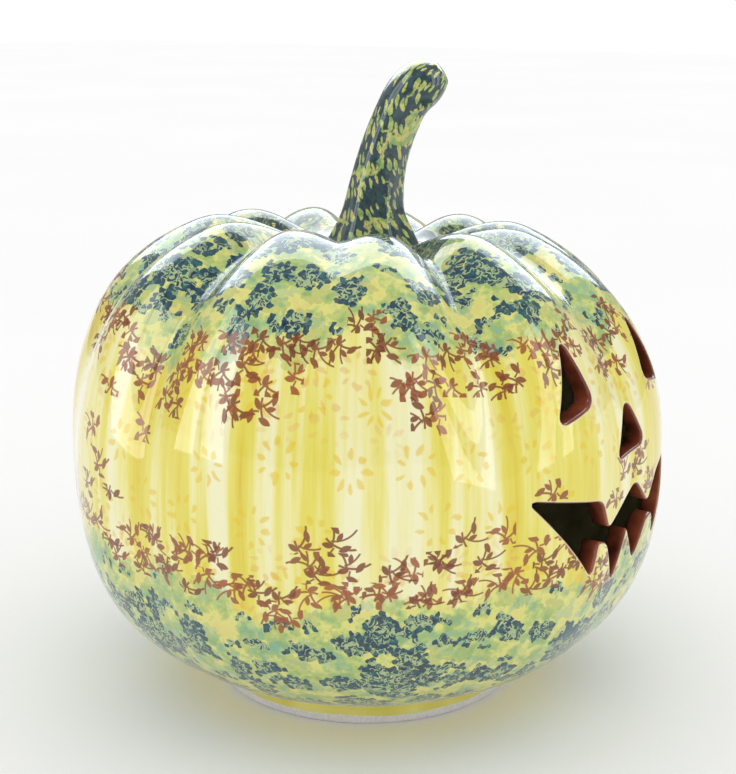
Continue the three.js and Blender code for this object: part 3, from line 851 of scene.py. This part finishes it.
def body_painting_group(paint, groups):
    """The whole painting under the glaze, from the unrolled body's place."""
    inputs = {"Place": VECTOR, "Object": VECTOR, "Stem Arc": 172.0, "Foot Arc": -105.0}
    tree, put = new_tree("body painting", SHADER_TREE, inputs, dict(Color=COLOUR))
    across, up, _ = parted(put["Place"])
    solid, stem_arc, foot_arc = put["Object"], put["Stem Arc"], put["Foot Arc"]
    angle = across / UNROLLED_RADIUS
    sin, cos = sine(angle), cosine(angle)
    upper_line = border_height(groups, angle, UPPER_BORDER) + UPPER_MEAN
    lower_line = border_height(groups, angle, LOWER_BORDER) + LOWER_MEAN
    soften = (noise(solid, 300.0, 2.0) - 0.5) * GREEN_RAGGED
    beyond = greater(up - upper_line, lower_line - up) + soften
    green = ramp(beyond, -GREEN_FADE, GREEN_FADE)
    color = blend(green, middle_band(paint, across, up, sin, cos), mottled_greens(paint, solid))

    # stamps lie on two flat caps, so they keep their size up to the stem and down to the foot
    upper = above(up, BAND_MIDDLE)
    out = upper * (stem_arc - up) + (1 - upper) * (up - foot_arc + FOOT_CAP_RADIUS)
    cap_x, cap_y = out * sin, out * cos
    limit_upper = stem_arc - UPPER_MEAN
    limit_lower = LOWER_MEAN - foot_arc + FOOT_CAP_RADIUS
    ink_colour = shades(noise(solid, 420.0, 2.0), (0.3, "0A2440"), (0.5, paint.ink), (0.68, "1C6468"))
    for cell, reach, dab, seed, bow, luck, margin, strength, shade in STAMP_LAYERS:
        stamp = use(groups.cloud, X=cap_x, Y=cap_y, Cell=cell, Reach=reach, Dab=dab, Seed=seed, Bow=bow)
        centre_out = root(stamp["Centre X"] ** 2.0 + stamp["Centre Y"] ** 2.0)
        centre_angle = bearing(stamp["Centre X"], stamp["Centre Y"])
        line_up = border_height(groups, centre_angle, UPPER_BORDER)
        line_low = border_height(groups, centre_angle, LOWER_BORDER)
        limit = upper * (limit_upper - line_up) + (1 - upper) * (limit_lower + line_low)
        ink = stamp["Ink"] * (below(centre_out, limit - margin) * below(stamp["Random"], luck))
        color = blend(ink * strength, color, shade or ink_colour)
        if shade is None:
            color = blend(stamp["Hooks"] * ink * 0.85, color, "B4C890")

    # darker, browner strokes towards the stem
    deep = noise(joined(cap_x, cap_y), 0.30, 3.0, 0.65, 1.2)
    near_stem = ramp(up, stem_arc - 78.0, stem_arc - 45.0)
    color = blend(near_stem * ramp(deep, 0.44, 0.56) * 0.75, color, "3C4330")

    for count, seed, base, border, way in SPRIG_LAYERS:
        leaves, tone = sprigs(groups, across, up, count, seed, base, border, way)
        color = blend(leaves * 0.92, color, blend(tone, paint.leaf, "A0552A"))
    close_tree(tree, Color=blend(ramp(up, foot_arc + 8.5, foot_arc + 7.5), color, "DCD258"))
    return tree


def glaze_skin_group():
    """The clear glaze's slow waves and fine orange peel, as a height."""
    tree, put = new_tree("glaze skin", SHADER_TREE, dict(Object=VECTOR), dict(Height=NUMBER))
    close_tree(tree, Height=noise(put["Object"], 38.0, 1.0) + noise(put["Object"], 420.0, 1.0) * 0.035)
    return tree


def shared_skin():
    return bpy.data.node_groups.get("glaze skin") or glaze_skin_group()


# ---------------------------------------------------------------- materials


def new_material(name):
    material = bpy.data.materials.new(name)
    material.use_nodes = True
    tree = material.node_tree
    return material, tree, tree.nodes["Principled BSDF"]


def dress(shader, **values):
    """Sets or wires the shader's own sockets."""
    for label, value in spaced(values).items():
        plug(shader.inputs[label], value)


def coordinates(tree):
    return Wire(tree.nodes.new("ShaderNodeTexCoord").outputs["Object"])


def unrolled(tree, layer):
    return Wire(lay(tree, "ShaderNodeUVMap", uv_map=layer).outputs[0])


def attribute(tree, name):
    return Wire(lay(tree, "ShaderNodeAttribute", attribute_name=name).outputs["Fac"])


def bump(shader, height, distance, strength):
    node = lay(height.tree, "ShaderNodeBump", dict(Distance=distance, Strength=strength, Height=height))
    dress(shader, Normal=Wire(node.outputs["Normal"]))


def under_clear_glaze(shader, solid, strength):
    dress(shader, Roughness=0.32, Coat_Weight=1.0, Coat_Roughness=0.035, Coat_IOR=1.5, Specular_IOR_Level=0.12)
    bump(shader, use(shared_skin(), Object=solid)["Height"], 0.0012, strength)


def body_glaze(settings, groups, slab):
    """Painting outside, brown glaze with painted shade on the carved faces, and a dull olive one inside."""
    material, tree, shader = new_material("stamped body glaze")
    solid = coordinates(tree)
    stem_arc, foot_arc = (float(np.interp(end, slab.latitudes, slab.along)) * 1000 for end in (NEAR_POLE, slab.foot))
    group = body_painting_group(settings.paint, groups)
    painting = use(group, Place=unrolled(tree, "band"), Object=solid, Stem_Arc=stem_arc, Foot_Arc=foot_arc)
    carve, inside = attribute(tree, "carve"), attribute(tree, "inside")
    patches = noise(solid, 90.0, 3.0)
    inner = shades(patches, (0.3, "B5B18C"), (0.55, settings.paint.inside), (0.75, "DAD7BC"))
    # the carved faces darken towards the inner wall: painted shade deeper in the openings
    cut = shades(patches - inside * 0.25, (0.2, "451D12"), (0.5, settings.paint.cut_edge), (0.75, "A45E3C"))
    color = blend(inside, painting["Color"], inner)
    color = blend(ramp(carve, 0.02, 0.2) * (1 - inside) * 0.65, color, "E4DCC0")
    dress(shader, Base_Color=blend(ramp(carve, 0.3, 0.62), color, cut))
    under_clear_glaze(shader, solid, 0.55)
    return material


# ---------------------------------------------------------------- pieces


def settings_of(context):
    return context.scene.pumpkin_lantern


def link(name, data):
    piece = bpy.data.objects.new(name, data)
    bpy.context.scene.collection.objects.link(piece)
    return piece


def made_plain(piece):
    """The evaluated mesh in place of the live modifiers."""
    graph = bpy.context.evaluated_depsgraph_get()
    evaluated = piece.evaluated_get(graph)
    mesh = bpy.data.meshes.new_from_object(evaluated, preserve_all_data_layers=True, depsgraph=graph)
    piece.modifiers.clear()
    piece.data = mesh
    if not mesh.polygons:
        raise RuntimeError(f"{piece.name} came out empty")


def pattern_place(tree):
    """The pattern's own three coordinates."""
    return parted(Wire(tree.nodes.new("GeometryNodeInputPosition").outputs[0]))


def stored(tree, name, kind):
    return Wire(lay(tree, "GeometryNodeInputNamedAttribute", {"Name": name}, data_type=kind).outputs[0])


def wrap_up(tree, geometry, place, material):
    """Moves the pattern to its place, shades it smooth and gives it its material."""
    for kind, inputs in (
        ("SetPosition", {"Position": place}),
        ("SetShadeSmooth", {}),
        ("RealizeInstances", {}),
        ("SetMaterial", {"Material": material}),
    ):
        geometry = Wire(lay(tree, "GeometryNode" + kind, {"Geometry": geometry, **inputs}).outputs[0])
    close_tree(tree, Geometry=geometry)


SHAPE_INPUTS = (
    "body_radius", "crown_rise", "belly_drop", "crown_dip", "well_depth",
    "groove_depth_equator", "groove_depth_crown", "lobes",
)


def body_tree(shape, material):
    """Wraps the flat slab of (angle, latitude, depth) round the ribbed body."""
    labels = {name: name.replace("_", " ").capitalize() for name in SHAPE_INPUTS}
    inputs = {"Geometry": GEOMETRY} | {labels[name]: float(getattr(shape, name)) for name in SHAPE_INPUTS}
    tree, put = new_tree("ribbed body", GEOMETRY_TREE, inputs, dict(Geometry=GEOMETRY))
    sizes = SimpleNamespace(**{name: put[labels[name]] for name in SHAPE_INPUTS})
    angle, latitude, depth = pattern_place(tree)
    x, y, z = wall_point(sizes, angle, latitude, depth)
    on_foot = stored(tree, "on_foot", "FLOAT")
    x = x + on_foot * (sine(angle) * FOOT_INNER - x)
    y = y + on_foot * (cosine(angle) * -FOOT_INNER - y)
    z = z + on_foot * (FOOT_TOP - z)
    wrap_up(tree, put["Geometry"], joined(x, y, z), material)
    return tree


class PUMPKIN_OT_body(bpy.types.Operator):
    """Wrap the carved slab round the ribbed form and glaze it"""

    bl_idname = "pumpkin.body"
    bl_label = "Carved Body"

    def execute(self, context):
        settings = settings_of(context)
        slab = carved_slab(settings.shape)
        groups = SimpleNamespace(cloud=cloud_stamp_group(), sprig=sprig_group(), border=border_group())
        piece = link("carved_body", slab.mesh("carved_body"))
        tree = body_tree(settings.shape, body_glaze(settings, groups, slab))
        piece.modifiers.new("Ribbed body", "NODES").node_group = tree
        made_plain(piece)
        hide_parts("pumpkin_shell")
        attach(piece, "lantern")
        return {"FINISHED"}


STEM_LEAN = math.radians(30)
# Middle line of the stem above its seat, as (distance along the lean, height), in millimetres.
STEM_LINE = ((2.5, 0), (3.2, 17), (6.3, 34), (12, 50), (18, 60), (28.5, 67))
# Half thickness at even steps along that line, from the flared base to the tip.
STEM_HALF_WIDTHS = (18.5, 12.6, 10.7, 9.8, 9.4, 9.3, 9.6, 8.8)
STEM_FLUTES = 6
STEM_FLUTE_DEPTH = 0.125
# Share of the length where the tip starts to round off, and how fast.
STEM_TIP, STEM_TIP_SPAN = 0.88, 0.15
STEM_DOME = 0.0016
STEM_CLEARANCE = 0.0002
STEM_SIDES = 144
STEM_ROWS = 110
STEM_DOMING = (0.25, 0.5, 0.75, 0.95)
STEM_GIRTH = 66.0
# Number round the stem, row height, seed, chance, and half sizes of the stamped blocks, in millimetres.
BLOCK_LAYERS = ((6, 17.0, 1.0, 0.88, 4.9, 7.4), (8, 12.0, 4.0, 0.66, 3.2, 4.8))
STEM_WARP = 7.0
SPECK_TILT = -0.5
SPECK_WIDTH, SPECK_LENGTH = 1.8, 5.0


def through(points, count):
    """A smooth run through points, evenly spaced along it, and its length."""
    points = np.array(points, float)
    ends = np.concatenate([[2 * points[0] - points[1]], points, [2 * points[-1] - points[-2]]])
    share = np.linspace(0, 1, 60, endpoint=False)[:, None]
    run = []
    for a, b, c, d in zip(ends, ends[1:], ends[2:], ends[3:]):
        bend, twist = 2 * a - 5 * b + 4 * c - d, 3 * b - a - 3 * c + d
        run.append(0.5 * (2 * b + (c - a) * share + bend * share**2 + twist * share**3))
    run = np.concatenate(run + [points[-1:]])
    along = np.concatenate([[0], np.cumsum(np.linalg.norm(np.diff(run, axis=0), axis=1))])
    even = np.linspace(0, along[-1], count)
    return np.stack([np.interp(even, along, run[:, k]) for k in range(run.shape[1])], 1), along[-1]


def stem_pattern():
    """The stem's unrolled skin: (angle, share of the length, doming), with the bent line stored beside it."""
    line, span = through(STEM_LINE, STEM_ROWS)
    widths = through([(i * 10.0, half) for i, half in enumerate(STEM_HALF_WIDTHS)], STEM_ROWS)[0][:, 1]
    tangent = np.gradient(line, axis=0)
    tangent /= np.linalg.norm(tangent, axis=1)[:, None]
    share = np.concatenate([np.linspace(0, 1, STEM_ROWS), np.ones(len(STEM_DOMING))])
    doming = np.concatenate([np.zeros(STEM_ROWS), STEM_DOMING])
    rows = len(share)
    nearest = np.minimum(np.arange(rows), STEM_ROWS - 1)
    lean_and_rise = np.array([(math.sin(STEM_LEAN), -math.cos(STEM_LEAN), 0), (0, 0, 1.0)])
    angle = TURN * np.arange(STEM_SIDES) / STEM_SIDES
    skin = np.stack(np.broadcast_arrays(angle[None, :], share[:, None], doming[:, None]), -1).reshape(-1, 3)
    points = np.concatenate([skin, [(0, 0, 0), (0, 1, doming[-1])]])
    step = span / (STEM_ROWS - 1)

    def per_point(values):
        return np.concatenate([np.repeat(values, STEM_SIDES, axis=0), values[:1], values[-1:]])

    def uv(i, j):
        return (j / STEM_SIDES * STEM_GIRTH, i * step)

    faces, maps = [], []
    first, last = rows * STEM_SIDES, rows * STEM_SIDES + 1
    for j in range(STEM_SIDES):
        k = (j + 1) % STEM_SIDES
        for i in range(rows - 1):
            low, high = i * STEM_SIDES, (i + 1) * STEM_SIDES
            faces.append((low + j, low + k, high + k, high + j))
            maps += [uv(i, j), uv(i, j + 1), uv(i + 1, j + 1), uv(i + 1, j)]
        faces += [(first, k, j), (last, high + j, high + k)]
        maps += [uv(0, j + 0.5), uv(0, j + 1), uv(0, j)]
        maps += [uv(rows - 1, j + 0.5), uv(rows - 1, j), uv(rows - 1, j + 1)]
    mesh = bpy.data.meshes.new("glazed_stem")
    mesh.from_pydata(points.tolist(), [], faces)
    mesh.uv_layers.new(name="skin").data.foreach_set("uv", np.array(maps, np.float32).ravel())
    halves = per_point(widths[nearest] / 1000)
    halves[-2:] = 0
    for name, kind, field, values in (
        ("middle", "FLOAT_VECTOR", "vector", per_point(line[nearest] @ lean_and_rise / 1000)),
        ("forward", "FLOAT_VECTOR", "vector", per_point(tangent[nearest] @ lean_and_rise)),
        ("half_width", "FLOAT", "value", halves),
    ):
        mesh.attributes.new(name, kind, "POINT").data.foreach_set(field, values.astype(np.float32).ravel())
    return mesh


def stem_tree(shape, material):
    """Rolls the pattern round the bent line, flutes it and seats its base on the crown."""
    inputs = {
        "Geometry": GEOMETRY, "Lean": STEM_LEAN, "Flutes": float(STEM_FLUTES), "Flute depth": STEM_FLUTE_DEPTH,
        "Dome": STEM_DOME, "Seat": float(side_view(shape, math.pi / 2)[1]), "Crown dip": shape.crown_dip,
        "Body radius": shape.body_radius,
    }
    tree, put = new_tree("fluted stem", GEOMETRY_TREE, inputs, dict(Geometry=GEOMETRY))
    angle, share, doming = pattern_place(tree)
    middle_x, middle_y, middle_z = parted(stored(tree, "middle", "FLOAT_VECTOR"))
    forward_x, forward_y, forward_z = parted(stored(tree, "forward", "FLOAT_VECTOR"))
    flute = 1 - (cosine(angle * put["Flutes"]) + 0.5) * (1 - share) * put["Flute depth"] * 0.5
    past = greater(0.0, (share - STEM_TIP) / STEM_TIP_SPAN)
    tip = root(1 - past * past) * root(1 - doming * doming)
    radius = stored(tree, "half_width", "FLOAT") * flute * tip
    across_x, across_y = cosine(put["Lean"]), sine(put["Lean"])
    round_x, round_y = cosine(angle) * radius, sine(angle) * radius
    dome = doming * put["Dome"]
    x = middle_x + forward_x * dome + across_x * round_x - forward_z * across_y * round_y
    y = middle_y + forward_y * dome + across_y * round_x + forward_z * across_x * round_y
    z = middle_z + put["Seat"] + forward_z * dome + (forward_x * across_y - forward_y * across_x) * round_y
    along = x * math.sin(DIP_TURN) - y * math.cos(DIP_TURN)
    seated = put["Seat"] + STEM_CLEARANCE - put["Crown dip"] * along / put["Body radius"]
    at_base = below(share, 1e-6)
    z = at_base * seated + (1 - at_base) * greater(z, seated)
    wrap_up(tree, put["Geometry"], joined(x, y, z), material)
    return tree


def facing_outwards(mesh):
    """Turns a closed skin right side out."""
    volume = 0.0
    for face in mesh.polygons:
        corners = [mesh.vertices[i].co for i in face.vertices]
        volume += sum(corners[0].dot(b.cross(c)) for b, c in zip(corners[1:], corners[2:]))
    if volume < 0:
        mesh.flip_normals()


def stem_painting_group(paint):
    """Dark blocks with long light specks on a yellow-green ground, in millimetres round and along the stem."""
    tree, put = new_tree("stem painting", SHADER_TREE, dict(Place=VECTOR), dict(Color=COLOUR))
    across, along, _ = parted(put["Place"])
    ring = STEM_GIRTH / TURN
    turn = across / STEM_GIRTH * TURN
    ring_x, ring_y = sine(turn) * ring, cosine(turn) * ring
    solid = joined(ring_x, ring_y, along)
    push_x, push_y = stir(solid, 0.30, 2.0)
    x, y = across + push_x * STEM_WARP, along + push_y * STEM_WARP
    mottle = noise(solid, 0.32, 2.0)
    color = shades(mottle, (0.32, "7FA56A"), (0.46, "A9BD62"), (0.56, "CDCD78"), (0.70, "D9C56C"))
    blocks = []
    for count, row, seed, luck_limit, half_wide, half_long in BLOCK_LAYERS:
        width = STEM_GIRTH / count
        level = whole(y / row + seed * 0.37)
        shift = wrapped(level, 2.0) * 0.5
        column = whole(x / width + shift)
        luck = chance(wrapped(column, float(count)), level, seed)
        near_x = magnitude(x - (column + 0.5 - shift) * width)
        near_y = magnitude(y - (level + 0.5 - seed * 0.37 + (luck[1] - 0.5) * 0.3) * row)
        block = ramp(near_x, half_wide + 0.5, half_wide - 0.3) * ramp(near_y, half_long + 0.5, half_long - 0.3)
        blocks.append(block * below(luck[2], luck_limit))
    cos, sin = math.cos(SPECK_TILT), math.sin(SPECK_TILT)
    near_x, near_y = (x + across * 2.0) / 3.0, (y + along * 2.0) / 3.0
    slant_x = (near_x * cos - near_y * sin) / SPECK_WIDTH
    slant_y = (near_x * sin + near_y * cos) / SPECK_LENGTH
    away, _, _, luck = cells(slant_x, slant_y, 1.5, 0.8, 40.0)
    specks = ramp(away, luck[0] * 0.34 + 0.30, luck[0] * 0.34 + 0.18)
    navy = blend(ramp(mottle, 0.4, 0.62), "12283E", paint.ink)
    color = blend(reduce(greater, blocks) * (1 - specks) * 0.95, color, navy)
    strokes = noise(joined(ring_x, ring_y, along / 2.6), 0.75, 1.0, 0.5, 1.0)
    close_tree(tree, Color=blend(ramp(magnitude(strokes - 0.5), 0.035, 0.012) * 0.45, color, "3F6B4C"))
    return tree


class PUMPKIN_OT_stem(bpy.types.Operator):
    """Roll the fluted stem on its bent line and glaze it"""

    bl_idname = "pumpkin.stem"
    bl_label = "Stem"

    def execute(self, context):
        settings = settings_of(context)
        material, tree, shader = new_material("stamped stem glaze")
        painting = use(stem_painting_group(settings.paint), Place=unrolled(tree, "skin"))
        dress(shader, Base_Color=painting["Color"])
        under_clear_glaze(shader, coordinates(tree), 0.6)
        piece = link("glazed_stem", stem_pattern())
        piece.modifiers.new("Fluted stem", "NODES").node_group = stem_tree(settings.shape, material)
        made_plain(piece)
        facing_outwards(piece.data)
        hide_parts("stem")
        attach(piece, "lantern")
        return {"FINISHED"}


# Half section of the foot ring, as (radius, height) in millimetres, upwards on the outside.
FOOT_SECTION = (
    (54.5, 0.3), (54.8, 0.0), (60.6, 0.0), (61.6, 0.15), (62.2, 0.7), (62.5, 1.6), (62.75, 3.2), (63.0, 5.0),
    (63.3, 8.2), (63.6, 9.6), (64.3, 10.8), (65.4, 11.7), (66.8, 12.1), (68.2, 12.2), (60.0, 12.1), (54.7, 12.0),
    (54.5, 11.6),
)
FOOT_SIDES = 240


def foot_mesh():
    radius, height = np.array(FOOT_SECTION).T[:, :, None]
    angle = TURN * np.arange(FOOT_SIDES) / FOOT_SIDES
    rows = np.stack(np.broadcast_arrays(radius * np.sin(angle), -radius * np.cos(angle), height), -1) / 1000
    faces = []
    for i in range(len(rows)):
        low, high = i * FOOT_SIDES, (i + 1) % len(rows) * FOOT_SIDES
        for j in range(FOOT_SIDES):
            k = (j + 1) % FOOT_SIDES
            faces.append((low + j, low + k, high + k, high + j))
    mesh = bpy.data.meshes.new("foot_ring_skin")
    mesh.from_pydata(rows.reshape(-1, 3).tolist(), [], faces)
    mesh.shade_smooth()
    return mesh


class PUMPKIN_OT_foot(bpy.types.Operator):
    """Turn the foot ring, bare at the rim and glazed yellow above"""

    bl_idname = "pumpkin.foot"
    bl_label = "Foot Ring"

    def execute(self, context):
        material, tree, shader = new_material("foot clay and glaze")
        solid = coordinates(tree)
        height = parted(solid)[2]
        glazed = ramp(height + (noise(solid, 60.0) - 0.5) * 0.0012, 0.0036, 0.0043)
        grain = noise(solid, 900.0, 3.0)
        clay = shades(grain, (0.3, "D2D0D6"), (0.7, "E6E5EA"))
        yellow = shades(noise(solid, 70.0), (0.3, "D8CE52"), (0.7, "EAE284"))
        dress(shader, Base_Color=blend(glazed, clay, yellow), Roughness=0.62 - glazed * 0.34)
        dress(shader, Coat_Weight=glazed, Coat_Roughness=0.05)
        bump(shader, grain * (1.05 - glazed), 0.0001, 0.6)
        piece = link("foot_ring_fired", foot_mesh())
        if not piece.data.polygons:
            raise RuntimeError("the foot ring came out empty")
        piece.data.materials.append(material)
        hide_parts("foot_ring")
        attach(piece, "lantern")
        return {"FINISHED"}


def plastic(name, dark, light, roughness):
    material, tree, shader = new_material(name)
    solid = coordinates(tree)
    cloudy = noise(solid, 160.0)
    dress(shader, Base_Color=shades(cloudy, (0.3, dark), (0.7, light)), Roughness=cloudy * 0.12 + (roughness - 0.06))
    bump(shader, noise(solid, 4200.0, 1.0), 0.00004, 0.5)
    return material


def frosted_flame():
    material, tree, shader = new_material("frosted amber plastic")
    solid = coordinates(tree)
    frost = noise(solid, 1500.0)
    tall = ramp(parted(solid)[2], 0.016, 0.040)
    dress(shader, Base_Color=blend(tall, "F4D9A0", "F0A94E"), Roughness=frost * 0.2 + 0.38)
    dress(shader, Transmission_Weight=0.55, IOR=1.49)
    bump(shader, frost, 0.00005, 0.5)
    return material


def clear_epoxy():
    material, tree, shader = new_material("clear cast epoxy")
    swirl = noise(coordinates(tree), 500.0, 1.0)
    dress(shader, Base_Color=shades(swirl, (0.3, "F3E8C4"), (0.7, "FBF4DC")), Roughness=swirl * 0.06 + 0.04)
    dress(shader, Transmission_Weight=0.8, IOR=1.53)
    return material


def brushed_steel():
    material, tree, shader = new_material("nickel plated steel")
    solid = coordinates(tree)
    x, y, z = parted(solid)
    brushing = noise(joined(x * 30.0, y, z), 1600.0)
    dress(shader, Base_Color=shades(noise(solid, 300.0), (0.3, "BDBFC3"), (0.7, "D2D3D6")))
    dress(shader, Metallic=1.0, Roughness=brushing * 0.16 + 0.2)
    bump(shader, brushing, 0.00002, 0.4)
    return material


class PUMPKIN_OT_tea_light(bpy.types.Operator):
    """Finish the plastic, epoxy and steel of the battery tea light"""

    bl_idname = "pumpkin.tea_light"
    bl_label = "Tea Light Finishes"

    def execute(self, context):
        finishes = {
            "white_plastic": plastic("moulded white plastic", "EFECE4", "F7F5EF", 0.42),
            "dark_plastic": plastic("moulded dark plastic", "232326", "323236", 0.45),
            "flame_plastic": frosted_flame(),
            "led_epoxy": clear_epoxy(),
            "steel": brushed_steel(),
        }
        dressed = 0
        for slot in (slot for item in bpy.data.objects for slot in item.material_slots):
            name = slot.material.name.split(".")[0] if slot.material else ""
            if name in finishes:
                slot.material = finishes[name]
                dressed += 1
        if not dressed:
            raise RuntimeError("no part of the tea light carries its finish")
        return {"FINISHED"}


# ---------------------------------------------------------------- stage

CAMERA_TURN = -55.0
CAMERA_DISTANCE = 0.600
CAMERA_HEIGHT = 0.276
CAMERA_PITCH = 14.65
CAMERA_LENS = 70.7
CAMERA_SHIFT_LEFT = -0.0006
CAMERA_SENSOR = 36
FLOOR_HALF_SIDE = 6.0
SKY_STRENGTH = 1.02
# How much weaker the sky is in reflections.
SKY_STRENGTH_LOST = 0.62
LIGHTS_AIM = Vector((0, 0, 0.11))
COOL = (0.93, 0.965, 1.0)
SKY = (0.84, 0.92, 1.0)
SOFT_BOXES = (
    # name, turn from the camera, rise, distance, width, height, power, colour
    ("left box outer", -80, 10, 1.4, 0.46, 2.6, 11, COOL),
    ("left box inner", -56, 10, 1.4, 0.40, 2.6, 9, COOL),
    ("right box inner", 52, 10, 1.4, 0.30, 2.6, 7, COOL),
    ("right box outer", 70, 10, 1.4, 0.26, 2.6, 6, COOL),
    ("back box", 180, 46, 1.5, 2.4, 1.35, 42, SKY),
)


def soft_box(name, turn, rise, distance, wide, tall, power, tint):
    """A flat soft light that shows only in reflections of the body."""
    light = bpy.data.lights.new(name, "AREA")
    light.shape = "RECTANGLE"
    light.size, light.size_y = wide, tall
    light.energy = power
    light.color = tint
    lamp = link(name, light)
    turn, rise = math.radians(CAMERA_TURN + turn), math.radians(rise)
    away = Vector((math.sin(turn) * math.cos(rise), -math.cos(turn) * math.cos(rise), math.sin(rise)))
    lamp.location = LIGHTS_AIM + distance * away
    lamp.rotation_euler = (LIGHTS_AIM - lamp.location).to_track_quat("-Z", "Y").to_euler()
    lamp.visible_diffuse = False


class PUMPKIN_OT_stage(bpy.types.Operator):
    """Lay the pale floor and set the soft lights and the camera"""

    bl_idname = "pumpkin.stage"
    bl_label = "Floor, Lights and Camera"

    def execute(self, context):
        scene = context.scene
        mesh = bpy.data.meshes.new("floor")
        corners = [(x * FLOOR_HALF_SIDE, y * FLOOR_HALF_SIDE, 0) for x, y in ((-1, -1), (1, -1), (1, 1), (-1, 1))]
        mesh.from_pydata(corners, [], [(0, 1, 2, 3)])
        floor = link("floor", mesh)
        material, tree, shader = new_material("pale floor")
        cloudy = noise(coordinates(tree), 2.0)
        dress(shader, Base_Color=shades(cloudy, (0.3, (0.95, 0.95, 0.95)), (0.7, (0.97, 0.97, 0.97))))
        dress(shader, Roughness=0.9, Specular_IOR_Level=0.0)
        mesh.materials.append(material)

        world = bpy.data.worlds.new("studio")
        scene.world = world
        world.use_nodes = True
        path = world.node_tree.nodes.new("ShaderNodeLightPath")
        mirrored = Wire(path.outputs["Is Glossy Ray"])
        dress(world.node_tree.nodes["Background"], Color=(1, 1, 1, 1), Strength=SKY_STRENGTH - mirrored * SKY_STRENGTH_LOST)
        for box in SOFT_BOXES:
            soft_box(*box)

        camera = bpy.data.cameras.new("camera")
        camera.lens = CAMERA_LENS
        camera.sensor_width = CAMERA_SENSOR
        camera.clip_start = 0.01
        eye = link("camera", camera)
        turn = math.radians(CAMERA_TURN)
        right = Vector((math.cos(turn), math.sin(turn), 0))
        back = Vector((math.sin(turn), -math.cos(turn), 0))
        eye.location = back * CAMERA_DISTANCE + Vector((0, 0, CAMERA_HEIGHT)) - right * CAMERA_SHIFT_LEFT
        eye.rotation_euler = (math.radians(90 - CAMERA_PITCH), 0, turn)
        scene.camera = eye
        scene.view_settings.view_transform = "Standard"
        return {"FINISHED"}


# ---------------------------------------------------------------- add-on


class PUMPKIN_PT_panel(bpy.types.Panel):
    """Lists the lantern's sizes, colours and pieces"""

    bl_idname = "PUMPKIN_PT_panel"
    bl_label = "Pumpkin Lantern"
    bl_space_type = "VIEW_3D"
    bl_region_type = "UI"
    bl_category = "Pumpkin"

    def draw(self, context):
        settings = settings_of(context)
        for group in (settings.shape, settings.paint):
            box = self.layout.box()
            for name in group.__annotations__:
                box.prop(group, name)
        for operator in OPERATORS:
            self.layout.operator(operator.bl_idname)


OPERATORS = (PUMPKIN_OT_stage, PUMPKIN_OT_body, PUMPKIN_OT_stem, PUMPKIN_OT_foot, PUMPKIN_OT_tea_light)
CLASSES = (PumpkinShape, GlazeColours, LanternSettings, *OPERATORS, PUMPKIN_PT_panel)


def register():
    for item in CLASSES:
        bpy.utils.register_class(item)
    bpy.types.Scene.pumpkin_lantern = PointerProperty(type=LanternSettings)


def unregister():
    del bpy.types.Scene.pumpkin_lantern
    for item in reversed(CLASSES):
        bpy.utils.unregister_class(item)


def main():
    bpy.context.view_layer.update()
    register()
    steps = bpy.ops.pumpkin
    for step in (steps.stage, steps.body, steps.stem, steps.foot, steps.tea_light):
        step()


if __name__ == "__main__":
    main()
